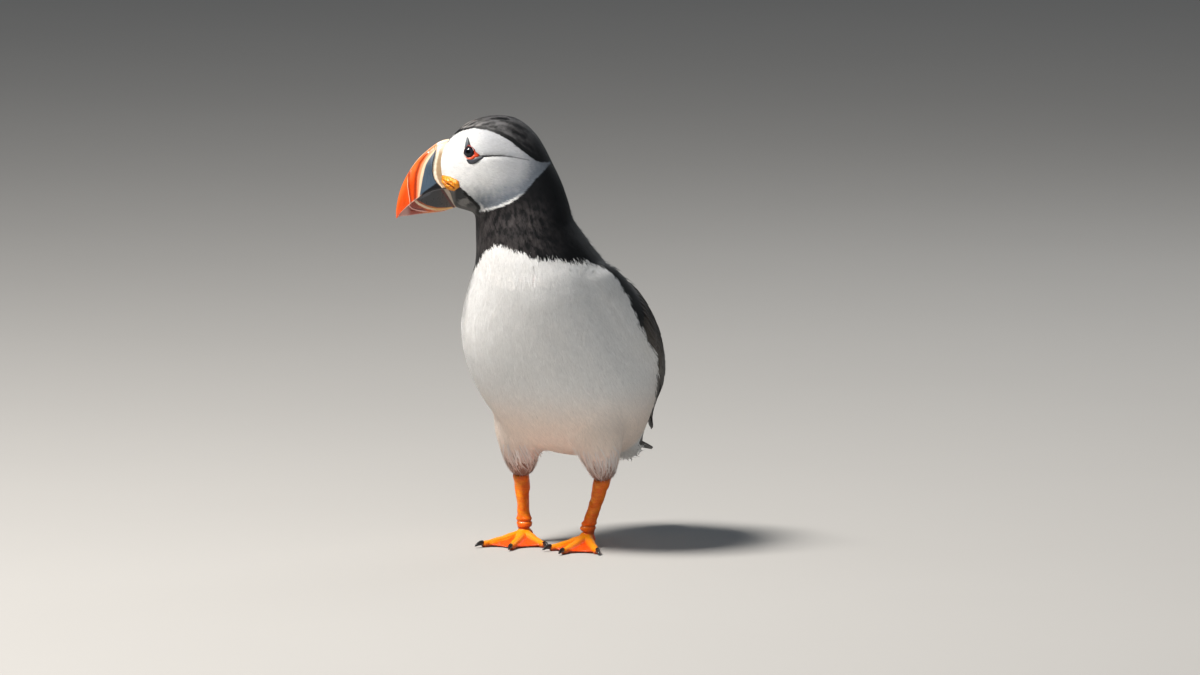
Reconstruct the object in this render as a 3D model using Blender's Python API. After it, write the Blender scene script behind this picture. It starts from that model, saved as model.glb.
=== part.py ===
"""Atlantic puffin, standing upright with the head turned to its right, life size.

Frame: metres, +Z up, the trunk faces -Y, the bird's left side is +X. The tables below are in
millimetres. The origin is moved at the end to the middle of the bounding box, on the floor.
"""

from math import cos, pi, radians, sin, sqrt

import bmesh
import bpy
from mathutils import Matrix, Vector
from mathutils.bvhtree import BVHTree

MM = 0.001

# ---- driving dimensions ----
GAP = 0.32  # clearance left where two pieces meet
HEAD_TURN = radians(62)  # the head looks this far to the bird's right of the trunk
NECK_AXIS = Vector((0.0, -26.0))  # where the upright neck axis meets the floor plan
RING_POINTS = 26
RINGS_PER_STATION = 2

# The body outline, from the tail root up the trunk and neck and round to the bill. Each station is
# one oval section: turn of its plane (0 = trunk, 1 = head), its front end and its back end as
# (forward of the neck axis, height), its half width and how square the oval is (2 = ellipse).
STATIONS = [
    ("tail root tip", 0.0, (-115.0, 42.6), (-119.0, 48.4), 9.0, 2.0),
    ("tail root", 0.0, (-99.0, 42.8), (-113.5, 62.5), 15.5, 2.1),
    ("vent", 0.0, (-78.0, 45.4), (-110.5, 81.5), 25.5, 2.2),
    ("rump", 0.0, (-56.0, 47.6), (-105.0, 99.5), 35.5, 2.25),
    ("hip", 0.0, (-33.0, 55.0), (-96.0, 115.5), 42.5, 2.3),
    ("belly", 0.0, (-12.0, 70.5), (-83.0, 128.5), 46.5, 2.3),
    ("keel", 0.0, (4.0, 91.0), (-69.0, 140.0), 47.0, 2.3),
    ("breast", 0.02, (14.6, 113.0), (-54.5, 150.5), 43.8, 2.25),
    ("shoulder", 0.2, (21.4, 136.0), (-41.5, 161.5), 37.6, 2.15),
    ("neck root", 0.5, (23.8, 155.5), (-32.0, 173.0), 29.6, 2.05),
    ("collar", 0.82, (24.8, 169.5), (-26.4, 180.4), 24.2, 2.0),
    ("throat", 1.0, (24.9, 179.0), (-25.0, 187.0), 21.5, 2.0),
    ("nape", 1.0, (25.6, 183.0), (-21.2, 198.5), 19.8, 2.05),
    ("back of head", 1.0, (27.4, 183.8), (-15.8, 209.8), 18.8, 2.15),
    ("hind crown", 1.0, (29.4, 184.3), (-8.1, 224.2), 18.3, 2.2),
    ("crown", 1.0, (31.2, 184.8), (3.3, 233.8), 17.9, 2.2),
    ("fore crown", 1.0, (32.8, 185.2), (17.0, 234.9), 16.8, 2.2),
    ("forehead", 1.0, (34.2, 185.5), (29.9, 230.8), 14.2, 2.2),
    ("lore", 1.0, (35.2, 185.8), (39.2, 223.2), 10.2, 2.2),
    ("bill root", 1.0, (37.6, 189.0), (42.8, 217.6), 6.6, 2.1),
    ("bill root tip", 1.0, (41.8, 198.0), (44.2, 211.0), 3.0, 2.0),
]
# Past the tail root the wing tips follow this imaginary section at the end of the tail.
BEYOND_TAIL = [0.0, -124.0, 41.0, -125.0, 51.0, 13.0, 2.0]
TRUNK_TOP = 8.45  # station number where the neck is parted from the trunk
NECK_TOP = 11.45  # and the head from the neck

# The bill in the head's plane, as (forward, height) from its root to its tip: the upper ridge, the
# mouth's upper and lower edges, the lower ridge, and the half width of the bill at the mouth.
BILL = [
    ((36.0, 222.6), (36.0, 197.1), (33.0, 196.5), (30.0, 187.2), 8.3),
    ((42.6, 221.4), (41.8, 197.0), (39.0, 196.6), (36.4, 185.6), 7.9),
    ((49.4, 217.5), (47.4, 196.0), (45.2, 195.9), (42.4, 183.8), 7.3),
    ((55.9, 211.6), (52.6, 193.3), (51.0, 193.6), (48.0, 183.1), 6.5),
    ((61.1, 203.9), (57.0, 190.0), (55.6, 190.6), (53.0, 182.6), 5.5),
    ((64.6, 195.0), (61.0, 186.6), (59.6, 187.3), (57.8, 182.0), 4.2),
    ((66.6, 185.8), (64.2, 183.4), (62.8, 184.1), (61.6, 181.4), 2.7),
    ((66.7, 180.2), (65.9, 180.6), (64.5, 181.9), (64.0, 181.3), 1.0),
]
BILL_TAPER = 0.5  # how much thinner the bill is at its ridges than at the mouth

# Eyes, the horny plates above and below them, and the gape rosettes, as places in the head's plane.
EYE_AT = (28.4, 217.0)
EYE_RADIUS = 3.8
EYE_SET = 2.4  # the eye's centre lies this far under the surface of the feathers
PLATE_THICKNESS = 1.3
UPPER_PLATE = [(30.7, 220.4), (29.8, 222.5), (28.9, 224.9), (28.1, 222.5), (27.0, 220.5), (28.9, 221.0)]
LOWER_PLATE = [(30.4, 213.9), (27.8, 213.2), (25.0, 213.4), (21.2, 215.4), (24.0, 212.6), (29.2, 212.0)]
ROSETTE_AT = (37.0, 199.9)
ROSETTE_SIZE = (6.9, 4.2, 2.4)  # half length, half height, half thickness
ROSETTE_SLOPE = radians(-31)

# Folded wings: patches that lie on the trunk between a lower and an upper edge, from the wrist to the
# tip. The front part carries the coverts and the rest is the stack of flight feathers.
WING_STATIONS = [  # station number, angle of the lower edge and of the upper edge round the section
    (8.1, 97, 112),
    (7.8, 92, 127),
    (7.25, 89, 139),
    (6.5, 88, 149),
    (5.7, 90, 155),
    (4.8, 95, 159),
    (3.9, 102, 161),
    (3.0, 109, 161),
    (2.1, 117, 161),
    (1.3, 125, 161),
    (0.7, 133, 160),
    (0.2, 142, 158),
]
FLIGHT_FEATHERS_FROM = 7.5  # row of the table where the flight feathers take over
WING_CLEARANCE = 0.7  # from the true oval of the trunk, whose facets lie inside it
WING_THICKNESS = 3.2
WING_EDGE = 0.9
WING_FRONT_SHARE = 0.2  # of the thickness at the wing's front end
WING_SWELL_ROWS = 3.0  # rows of the table over which it reaches the full thickness
WING_TIP_THICKNESS = 1.6
WING_ACROSS = 8

# Tail: a short rounded fan
TAIL_ROOT = (98.0, 57.5)  # back from the neck axis, height
TAIL_LENGTH = 36.0
TAIL_SLOPE = radians(-21)
TAIL_OUTLINE = [(0.0, 8.0), (0.3, 10.7), (0.6, 12.6), (0.85, 12.3), (0.96, 9.4), (1.0, 5.6)]  # reach, half
TAIL_THICKNESS = 3.0
TAIL_THINNING = 0.55  # share of the thickness lost towards the tip
TAIL_ARCH = 1.6  # how far the outer feathers hang below the middle ones
TAIL_POINTS = 12

# Legs: knee, ankle (heel joint) and toe joint of each, as (x, y, height)
LEGS = {
    "left": {"knee": (24.0, 8.0, 80.0), "ankle": (21.2, 25.5, 38.3), "toes": (11.8, 24.0, 8.4)},
    "right": {"knee": (-20.0, 8.0, 80.0), "ankle": (-28.0, 24.5, 38.3), "toes": (-26.3, 25.0, 8.4)},
}
THIGH_RADII = [(0.0, 11.0), (0.35, 15.0), (0.7, 11.4), (0.92, 7.2), (1.0, 5.4)]  # how far down, radius
SHANK_INSET = 1.0  # the shank starts this far inside the end of the feathered leg, and is cut back
SHANK_RADII = [  # how far down, half width, half depth
    (0.0, 4.0, 4.4),
    (0.13, 4.2, 4.6),
    (0.3, 3.5, 4.0),
    (0.55, 3.05, 3.7),
    (0.8, 3.3, 3.7),
    (1.0, 3.9, 4.0),
]

# Feet: each toe's heading in degrees from straight ahead of the trunk towards the bird's left, and
# its length without the claw
FEET = {
    "left": {"inner": (-23, 25.0), "middle": (4.5, 32.0), "outer": (38.5, 30.0)},
    "right": {"inner": (53, 25.0), "middle": (15, 32.0), "outer": (-20, 30.0)},
}
PAD_RADII = (4.4, 4.8, 4.4)  # the ball of the foot, under the toe joint
TOE_ROOT_RADIUS = 2.75
TOE_TIP_RADIUS = 1.75
TOE_RINGS = (-0.05, 0.05, 0.2, 0.36, 0.52, 0.68, 0.84, 0.95, 1.0)  # along the toe
TOE_END_TAPER = 0.72
TOE_KNUCKLES = 3
TOE_KNUCKLE_SWELL = 0.07
TOE_LIES_FROM = 0.85  # along the toe, where it lies flat
TOE_ROOT_DROP = 3.2  # the toes leave the shank this far under the joint
TOE_FLAT = 0.35  # how much of each toe's pad is flattened against the floor
WEB_THICKNESS = 1.0
WEB_CELLS = 5
WEB_START = 0.08  # share of the toes' length where the web begins
WEB_LENGTH = 0.86
WEB_HOLLOW = 0.13
WEB_SAG = 0.8
WEB_CLEARANCE = 0.25  # the web is off the floor, so that only the toes carry
CLAW_LENGTH = 6.2
CLAW_RADIUS = 1.35
CLAW_TIP_RADIUS = 0.3
CLAW_INSET = 0.6  # its root lies this far back in the toe
CLAW_RISE = 0.75
CLAW_FALL = 1.1
CLAW_SLENDERNESS = 0.8  # width over height

COLOURS = {  # base colour, roughness
    "plumage": ((0.85, 0.85, 0.83), 0.8),
    "dark plumage": ((0.03, 0.03, 0.035), 0.7),
    "leg": ((0.85, 0.26, 0.02), 0.5),
    "claw": ((0.03, 0.027, 0.025), 0.35),
    "bill": ((0.8, 0.16, 0.04), 0.3),
    "rosette": ((0.9, 0.45, 0.02), 0.5),
    "eye": ((0.02, 0.015, 0.012), 0.05),
    "eye plate": ((0.16, 0.19, 0.23), 0.4),
}


# ---- small tools ----
def clear_scene():
    for obj in list(bpy.data.objects):
        bpy.data.objects.remove(obj)


def material(name):
    found = bpy.data.materials.get(name)
    if found:
        return found
    made = bpy.data.materials.new(name)
    made.use_nodes = True
    shader = made.node_tree.nodes["Principled BSDF"]
    colour, roughness = COLOURS[name]
    shader.inputs["Base Color"].default_value = (*colour, 1.0)
    shader.inputs["Roughness"].default_value = roughness
    return made


def new_object(name, points, faces, finish, smooth=True):
    """An object from points in millimetres, with its faces turned outwards."""
    mesh = bpy.data.meshes.new(name)
    mesh.from_pydata([Vector(p) * MM for p in points], [], faces)
    work = bmesh.new()
    work.from_mesh(mesh)
    bmesh.ops.recalc_face_normals(work, faces=work.faces)
    work.to_mesh(mesh)
    work.free()
    mesh.materials.append(material(finish))
    if smooth:
        mesh.shade_smooth()
    obj = bpy.data.objects.new(name, mesh)
    bpy.context.scene.collection.objects.link(obj)
    return obj


def helper(obj):
    """Marks an object as a cutter, which isn't part of the bird."""
    obj.hide_render = True
    obj.display_type = "WIRE"
    return obj


def grown(obj, name, distance=GAP):
    """A cutter with the same shape as obj, larger by the clearance all round."""
    mesh = obj.evaluated_get(bpy.context.evaluated_depsgraph_get()).to_mesh().copy()
    obj.evaluated_get(bpy.context.evaluated_depsgraph_get()).to_mesh_clear()
    normals = [v.normal.copy() for v in mesh.vertices]
    for vertex, normal in zip(mesh.vertices, normals):
        vertex.co += normal * distance * MM
    made = bpy.data.objects.new(name, mesh)
    bpy.context.scene.collection.objects.link(made)
    return helper(made)


def boolean(obj, other, operation="DIFFERENCE"):
    modifier = obj.modifiers.new(other.name, "BOOLEAN")
    modifier.operation = operation
    modifier.object = other
    modifier.solver = "EXACT"
    return obj


def tube(rings):
    """Points and faces of a closed solid through rings of equal length, flat at both ends."""
    count = len(rings[0])
    points = [p for ring in rings for p in ring]
    faces = [
        (i * count + j, i * count + (j + 1) % count, (i + 1) * count + (j + 1) % count, (i + 1) * count + j)
        for i in range(len(rings) - 1)
        for j in range(count)
    ]
    faces.append(tuple(range(count)))
    faces.append(tuple((len(rings) - 1) * count + j for j in range(count)))
    return points, faces


def smooth_between(rows, place):
    """The row at a fractional place in a list of rows of numbers, on a Catmull-Rom curve."""
    last = len(rows) - 1
    i = min(int(place), last - 1)
    t = place - i
    before, start = rows[max(i - 1, 0)], rows[i]
    end, after = rows[i + 1], rows[min(i + 2, last)]
    return [
        0.5 * (2 * b + (c - a) * t + (2 * a - 5 * b + 4 * c - d) * t**2 + (3 * b - a - 3 * c + d) * t**3)
        for a, b, c, d in zip(before, start, end, after)
    ]


def places(start, end, step):
    """Evenly spaced numbers from start to end, about a step apart."""
    count = max(1, round((end - start) / step))
    return [start + (end - start) * i / count for i in range(count + 1)]


def signed_power(value, power):
    return (1 if value >= 0 else -1) * abs(value) ** power


# ---- the body ----
BODY_ROWS = [[turn, *front, *back, half, square] for _, turn, front, back, half, square in STATIONS]


def plane_axes(turn):
    """Forward and bird's-left directions of a plane turned between the trunk (0) and the head (1)."""
    angle = turn * HEAD_TURN
    return Vector((-sin(angle), -cos(angle), 0.0)), Vector((cos(angle), -sin(angle), 0.0))


def in_plane(turn, forward, height, left=0.0):
    """The point in space for a place in a turned plane through the neck axis."""
    ahead, aside = plane_axes(turn)
    return Vector((*NECK_AXIS, height)) + ahead * forward + aside * left


def body_point(place, angle, rows=BODY_ROWS):
    """A point on the body: angle 0 is the front or underside, 90 the bird's left, 180 the back."""
    turn, front_f, front_z, back_f, back_z, half, square = smooth_between(rows, place)
    along = -signed_power(cos(angle), 2 / square)
    across = signed_power(sin(angle), 2 / square)
    forward = (front_f + back_f) / 2 + along * (back_f - front_f) / 2
    height = (front_z + back_z) / 2 + along * (back_z - front_z) / 2
    return in_plane(turn, forward, height, across * half)


def body_section(name, start, end, finish):
    rings = [
        [body_point(place, 2 * pi * j / RING_POINTS) for j in range(RING_POINTS)]
        for place in places(start, end, 1 / RINGS_PER_STATION)
    ]
    return new_object(name, *tube(rings), finish)


def body_normal(place, angle, rows=BODY_ROWS):
    """The direction out of the body at a point."""
    step = 0.02
    along = body_point(place + step, angle, rows) - body_point(place - step, angle, rows)
    around = body_point(place, angle + step, rows) - body_point(place, angle - step, rows)
    return around.cross(along).normalized()


def make_body():
    part = 0.016  # in stations, on each side of a cut
    trunk = body_section("trunk", 0.0, TRUNK_TOP - part, "plumage")
    neck = body_section("neck", TRUNK_TOP + part, NECK_TOP - 3 * part, "dark plumage")
    head = body_section("head", NECK_TOP + 3 * part, len(STATIONS) - 1.0, "plumage")
    return trunk, neck, head


# ---- the bill ----
def bill_ring(edge, ridge, half_width):
    """One section of a mandible, from one edge of the mouth over the ridge to the other edge."""
    steps = 5
    ring = []
    for side in (-1, 1):
        order = range(steps) if side < 0 else range(steps - 1, -1, -1)
        for k in order:
            t = sin(0.5 * pi * k / steps)
            width = half_width * (1 - BILL_TAPER * t) * sqrt(1 - t**5)
            forward = edge[0] + (ridge[0] - edge[0]) * t
            height = edge[1] + (ridge[1] - edge[1]) * t
            ring.append(in_plane(1.0, forward, height, side * width))
        if side < 0:
            ring.append(in_plane(1.0, *ridge))
    return ring


def mandible(name, rows):
    rings = []
    for place in places(0.0, len(rows) - 1.0, 0.5):
        edge_f, edge_z, ridge_f, ridge_z, width = smooth_between(rows, place)
        rings.append(bill_ring((edge_f, edge_z), (ridge_f, ridge_z), width))
    return new_object(name, *tube(rings), "bill")


def make_bill(head_cutter):
    upper_rows = [[*edge, *ridge, width] for ridge, edge, _, _, width in BILL]
    lower_rows = [[*edge, *ridge, width] for _, _, edge, ridge, width in BILL]
    boolean(mandible("bill_upper", upper_rows), head_cutter)
    boolean(mandible("bill_lower", lower_rows), head_cutter)


# ---- eyes and what is round them ----
def head_surface(tree, place, side):
    """The point on the head's side over a place in its plane, and the outward direction there."""
    _, aside = plane_axes(1.0)
    start = in_plane(1.0, *place, 60.0 * side)
    hit, normal, _, _ = tree.ray_cast(start * MM, -aside * side)
    return hit / MM, normal


def tree_of(obj):
    return BVHTree.FromObject(obj, bpy.context.evaluated_depsgraph_get())


def ball(name, centre, axes, radii, finish, segments=14, rings=8):
    """An ellipsoid with the given axes, as columns, and radii."""
    mesh = bpy.data.meshes.new(name)
    work = bmesh.new()
    bmesh.ops.create_uvsphere(work, u_segments=segments, v_segments=rings, radius=1.0)
    place = Matrix.Translation(centre) @ axes.to_4x4() @ Matrix.Diagonal((*radii, 1.0))
    work.transform(Matrix.Scale(MM, 4) @ place)
    work.to_mesh(mesh)
    work.free()
    mesh.materials.append(material(finish))
    mesh.shade_smooth()
    obj = bpy.data.objects.new(name, mesh)
    bpy.context.scene.collection.objects.link(obj)
    return obj


def plate(name, outline, tree, side, head_cutter):
    """A horny plate by the eye: an outline in the head's plane, laid on the head."""
    ahead, aside = plane_axes(1.0)
    inner, outer = [], []
    for place in outline:
        hit, _ = head_surface(tree, place, side)
        inner.append(hit - aside * side * 2.0)
        outer.append(hit + aside * side * PLATE_THICKNESS)
    count = len(outline)
    faces = [tuple(range(count)), tuple(range(2 * count - 1, count - 1, -1))]
    faces += [(i, (i + 1) % count, count + (i + 1) % count, count + i) for i in range(count)]
    obj = new_object(name, inner + outer, faces, "eye plate", smooth=False)
    return boolean(obj, head_cutter)


def make_face(head):
    tree = tree_of(head)
    eyes = []
    for side_name, side in (("left", 1), ("right", -1)):
        surface, normal = head_surface(tree, EYE_AT, side)
        centre = surface - normal * EYE_SET
        eye = ball(f"eye_{side_name}", centre, Matrix.Identity(3), (EYE_RADIUS,) * 3, "eye")
        eyes.append(eye)
    for eye in eyes:
        boolean(head, grown(eye, f"cutter_{eye.name}"))
    head_cutter = grown(head, "cutter_head")
    make_bill(head_cutter)
    for side_name, side in (("left", 1), ("right", -1)):
        for name, outline in (("upper", UPPER_PLATE), ("lower", LOWER_PLATE)):
            made = plate(f"eye_plate_{name}_{side_name}", outline, tree, side, head_cutter)
            boolean(made, bpy.data.objects[f"cutter_eye_{side_name}"])
        make_rosette(side_name, side, tree, head_cutter)


def make_rosette(side_name, side, tree, head_cutter):
    surface, normal = head_surface(tree, ROSETTE_AT, side)
    ahead, _ = plane_axes(1.0)
    along = ahead * cos(ROSETTE_SLOPE) - Vector((0, 0, 1)) * sin(ROSETTE_SLOPE)
    along = (along - normal * along.dot(normal)).normalized()
    axes = Matrix((along, normal.cross(along), normal)).transposed()
    rosette = ball(f"rosette_{side_name}", surface, axes, ROSETTE_SIZE, "rosette", 12, 6)
    boolean(rosette, head_cutter)
    grown_size = [size + GAP for size in ROSETTE_SIZE]
    cutter = ball(f"cutter_rosette_{side_name}", surface, axes, grown_size, "rosette", 12, 6)
    for name in ("bill_upper", "bill_lower"):
        boolean(bpy.data.objects[name], helper(cutter))


# ---- wings and tail ----
WING_BASE = [BEYOND_TAIL] + BODY_ROWS[1:]


def slab(top, bottom, count):
    """Points and faces of a closed slab between two grids of points with count points to a row."""
    rows, offset = len(top) // count, len(top)
    faces = []
    for i in range(rows - 1):
        for j in range(count - 1):
            a, b, c, d = i * count + j, i * count + j + 1, (i + 1) * count + j + 1, (i + 1) * count + j
            faces.append((a, b, c, d))
            faces.append((a + offset, d + offset, c + offset, b + offset))
    border = list(range(count)) + [i * count + count - 1 for i in range(1, rows)]
    border += [(rows - 1) * count + j for j in range(count - 2, -1, -1)]
    border += [i * count for i in range(rows - 2, 0, -1)]
    for a, b in zip(border, border[1:] + border[:1]):
        faces.append((a, b, b + offset, a + offset))
    return top + bottom, faces


def wing_patch(name, side, start, end):
    """Part of a folded wing: a slab that follows the trunk, thick in the middle and thin at its edges."""
    last = len(WING_STATIONS) - 1
    inner, outer = [], []
    for step in places(start, end, 0.5):
        place, low, high = smooth_between(WING_STATIONS, step)
        fade = min(1.0, WING_FRONT_SHARE + step / WING_SWELL_ROWS)
        middle = WING_THICKNESS + (WING_TIP_THICKNESS - WING_THICKNESS) * (step / last) ** 2
        for j in range(WING_ACROSS + 1):
            t = j / WING_ACROSS
            angle = radians(low + (high - low) * t) * side
            base = body_point(place, angle, WING_BASE)
            out = body_normal(place, angle, WING_BASE)
            swell = sqrt(sin(pi * t)) if 0 < j < WING_ACROSS else 0.0
            thick = WING_EDGE + (middle - WING_EDGE) * fade * swell
            inner.append(base + out * WING_CLEARANCE)
            outer.append(base + out * (WING_CLEARANCE + thick))
    return new_object(name, *slab(inner, outer, WING_ACROSS + 1), "dark plumage")


def make_wings():
    last = len(WING_STATIONS) - 1.0
    part = 0.03  # in rows of the table, on each side of the cut
    for side_name, side in (("left", 1), ("right", -1)):
        wing_patch(f"wing_{side_name}", side, 0.0, FLIGHT_FEATHERS_FROM - part)
        wing_patch(f"primaries_{side_name}", side, FLIGHT_FEATHERS_FROM + part, last)


def make_tail(trunk):
    back, height = TAIL_ROOT
    root = Vector((0.0, NECK_AXIS.y + back, height))
    along = Vector((0.0, cos(TAIL_SLOPE), sin(TAIL_SLOPE)))
    up = Vector((0.0, -sin(TAIL_SLOPE), cos(TAIL_SLOPE)))
    widest = max(half for _, half in TAIL_OUTLINE)
    rings = []
    for place in places(0.0, len(TAIL_OUTLINE) - 1.0, 0.5):
        reach, half = smooth_between(TAIL_OUTLINE, place)
        thick = TAIL_THICKNESS / 2 * (1 - TAIL_THINNING * reach)
        ring = []
        for j in range(TAIL_POINTS):
            angle = 2 * pi * j / TAIL_POINTS
            x = half * signed_power(cos(angle), 0.6)
            lift = thick * sin(angle) - TAIL_ARCH * (x / widest) ** 2
            ring.append(root + along * reach * TAIL_LENGTH + Vector((x, 0.0, 0.0)) + up * lift)
        rings.append(ring)
    tail = new_object("tail", *tube(rings), "dark plumage")
    boolean(tail, grown(trunk, "cutter_trunk_tail"))


# ---- legs ----
def limb_ring(centre, axis, radius_side, radius_fore, count=12, facing=Vector((0, -1, 0))):
    fore = (facing - axis * facing.dot(axis)).normalized()
    aside = axis.cross(fore)
    return [
        centre + fore * radius_fore * cos(2 * pi * j / count) + aside * radius_side * sin(2 * pi * j / count)
        for j in range(count)
    ]


def make_thigh(side_name, leg, trunk_cutter):
    knee, ankle = Vector(leg["knee"]), Vector(leg["ankle"])
    rings = []
    for step in places(0.0, len(THIGH_RADII) - 1.0, 0.5):
        t, radius = smooth_between(THIGH_RADII, step)
        rings.append(limb_ring(knee.lerp(ankle, t), (ankle - knee).normalized(), radius, radius, 16))
    thigh = new_object(f"thigh_{side_name}", *tube(rings), "plumage")
    thigh_cutter = grown(thigh, f"cutter_thigh_{side_name}")
    boolean(thigh, trunk_cutter)
    return thigh_cutter


def make_shank(side_name, leg, thigh_cutter):
    """The bare scaly shank, from under the thigh feathers to the toes."""
    ankle, toes = Vector(leg["ankle"]), Vector(leg["toes"])
    axis = (toes - ankle).normalized()
    top = ankle - axis * SHANK_INSET
    rings = []
    for step in places(0.0, len(SHANK_RADII) - 1.0, 0.5):
        t, side_radius, fore_radius = smooth_between(SHANK_RADII, step)
        rings.append(limb_ring(top.lerp(toes, t), axis, side_radius, fore_radius))
    shank = new_object(f"shank_{side_name}", *tube(rings), "leg")
    boolean(shank, thigh_cutter)


def heading_axis(heading):
    """The level direction that a toe takes from the joint."""
    return Vector((sin(radians(heading)), -cos(radians(heading)), 0.0))


def toe_line(joint, heading, length, t):
    """A point on a toe's centre line, with its radius. The toe comes down to lie along the floor."""
    radius = TOE_ROOT_RADIUS + (TOE_TIP_RADIUS - TOE_ROOT_RADIUS) * t
    drop = (1 - min(t / TOE_LIES_FROM, 1.0)) ** 1.6
    centre = joint + heading_axis(heading) * length * t
    centre.z = radius - TOE_FLAT + (joint.z - TOE_ROOT_DROP - radius) * drop
    return centre, radius


def make_toe(name, joint, heading, length):
    axis = heading_axis(heading)
    rings = []
    for t in TOE_RINGS:
        centre, radius = toe_line(joint, heading, length, max(t, 0.0))
        centre += axis * length * min(t, 0.0)
        if t in (TOE_RINGS[0], TOE_RINGS[-1]):
            radius *= TOE_END_TAPER
        else:
            radius *= 1.0 + TOE_KNUCKLE_SWELL * cos(2 * pi * t * TOE_KNUCKLES)
        rings.append(limb_ring(centre, axis, radius, radius, 8, Vector((0, 0, 1))))
    return new_object(name, *tube(rings), "leg")


def make_web(name, joint, first, second):
    """The skin between two toes, with a hollow front edge."""
    half = Vector((0.0, 0.0, WEB_THICKNESS / 2))
    top, bottom = [], []
    for i in range(WEB_CELLS + 1):
        for j in range(WEB_CELLS + 1):
            out = i / WEB_CELLS
            across = j / WEB_CELLS
            hollow = sin(pi * across)
            reach = WEB_START + (WEB_LENGTH - WEB_HOLLOW * hollow) * out
            middle = toe_line(joint, *first, reach)[0].lerp(toe_line(joint, *second, reach)[0], across)
            middle.z = max(middle.z - WEB_SAG * hollow * out, half.z + WEB_CLEARANCE)
            top.append(middle + half)
            bottom.append(middle - half)
    return helper(new_object(name, *slab(top, bottom, WEB_CELLS + 1), "leg"))


def slab_under_floor():
    """A cutter that leaves small flats where the toes and claws touch the floor."""
    mesh = bpy.data.meshes.new("cutter_floor")
    work = bmesh.new()
    bmesh.ops.create_cube(work, size=1.0)
    work.transform(Matrix.Scale(MM, 4) @ Matrix.Translation((0, 0, -10)) @ Matrix.Diagonal((300, 300, 20, 1)))
    work.to_mesh(mesh)
    work.free()
    obj = bpy.data.objects.new("cutter_floor", mesh)
    bpy.context.scene.collection.objects.link(obj)
    return helper(obj)


def make_claw(name, joint, heading, length):
    """A curved claw that comes out of the toe's end and turns down to the floor."""
    axis = heading_axis(heading)
    start, _ = toe_line(joint, heading, length, 1.0)
    rings = []
    for t in places(0.0, 1.0, 0.25):
        radius = CLAW_RADIUS * (1 - t) ** 0.6 + CLAW_TIP_RADIUS
        centre = start + axis * (t * CLAW_LENGTH - CLAW_INSET)
        centre.z += CLAW_RISE * (1 + sin(pi * min(t * 1.1, 1.0))) - CLAW_FALL * t
        centre.z = max(centre.z, radius * CLAW_SLENDERNESS)
        rings.append(limb_ring(centre, axis, radius * CLAW_SLENDERNESS, radius, 6, Vector((0, 0, 1))))
    return new_object(name, *tube(rings), "claw")


def make_foot(side_name, joint, toes, floor):
    made = {toe: make_toe(f"toe_{toe}_{side_name}", joint, *toes[toe]) for toe in toes}
    foot = made["middle"]
    foot.name = f"foot_{side_name}"
    for other in ("inner", "outer"):
        helper(made[other])
        boolean(foot, made[other], "UNION")
    for other in ("inner", "outer"):
        web = make_web(f"web_{other}_{side_name}", joint, toes["middle"], toes[other])
        boolean(foot, web, "UNION")
    pad_centre = Vector((joint.x, joint.y, PAD_RADII[2] - TOE_FLAT))
    pad = ball(f"pad_{side_name}", pad_centre, Matrix.Identity(3), PAD_RADII, "leg", 12, 8)
    boolean(foot, helper(pad), "UNION")
    boolean(foot, floor)
    shank_cutter = grown(bpy.data.objects[f"shank_{side_name}"], f"cutter_shank_{side_name}")
    boolean(foot, shank_cutter)
    foot_cutter = grown(foot, f"cutter_foot_{side_name}")
    for toe in toes:
        claw = make_claw(f"claw_{toe}_{side_name}", joint, *toes[toe])
        boolean(boolean(claw, floor), foot_cutter)


def make_legs(trunk):
    trunk_cutter = grown(trunk, "cutter_trunk_legs")
    floor = slab_under_floor()
    for side_name, leg in LEGS.items():
        thigh_cutter = make_thigh(side_name, leg, trunk_cutter)
        make_shank(side_name, leg, thigh_cutter)
        make_foot(side_name, Vector(leg["toes"]), FEET[side_name], floor)


def centre_on_floor():
    """Moves everything so that the origin is under the middle of the bounding box."""
    graph = bpy.context.evaluated_depsgraph_get()
    shown = [o for o in bpy.data.objects if not o.hide_render]
    corners = [v.co for o in shown for v in o.evaluated_get(graph).data.vertices]
    middle_x = (min(c.x for c in corners) + max(c.x for c in corners)) / 2
    middle_y = (min(c.y for c in corners) + max(c.y for c in corners)) / 2
    for obj in bpy.data.objects:
        obj.location = (-middle_x, -middle_y, 0.0)


def main():
    clear_scene()
    trunk, neck, head = make_body()
    make_face(head)
    make_wings()
    make_tail(trunk)
    make_legs(trunk)
    centre_on_floor()


main()
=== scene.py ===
"""Looks of the atlantic puffin: skin, feathers, bill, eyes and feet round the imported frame.

Lengths are in millimetres until a mesh is made. Places come from the frame: the eyes' boxes give the
head's plane, the neck's upright axis and the bird's middle line. A place is then written either in the
head's plane as (forward, height) or along the body axis as (distance from the tail, angle round it).
"""
from math import atan2, cos, pi, radians, sin, sqrt

import bmesh
import bpy
import numpy as np
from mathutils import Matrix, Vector
from mathutils.bvhtree import BVHTree


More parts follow.
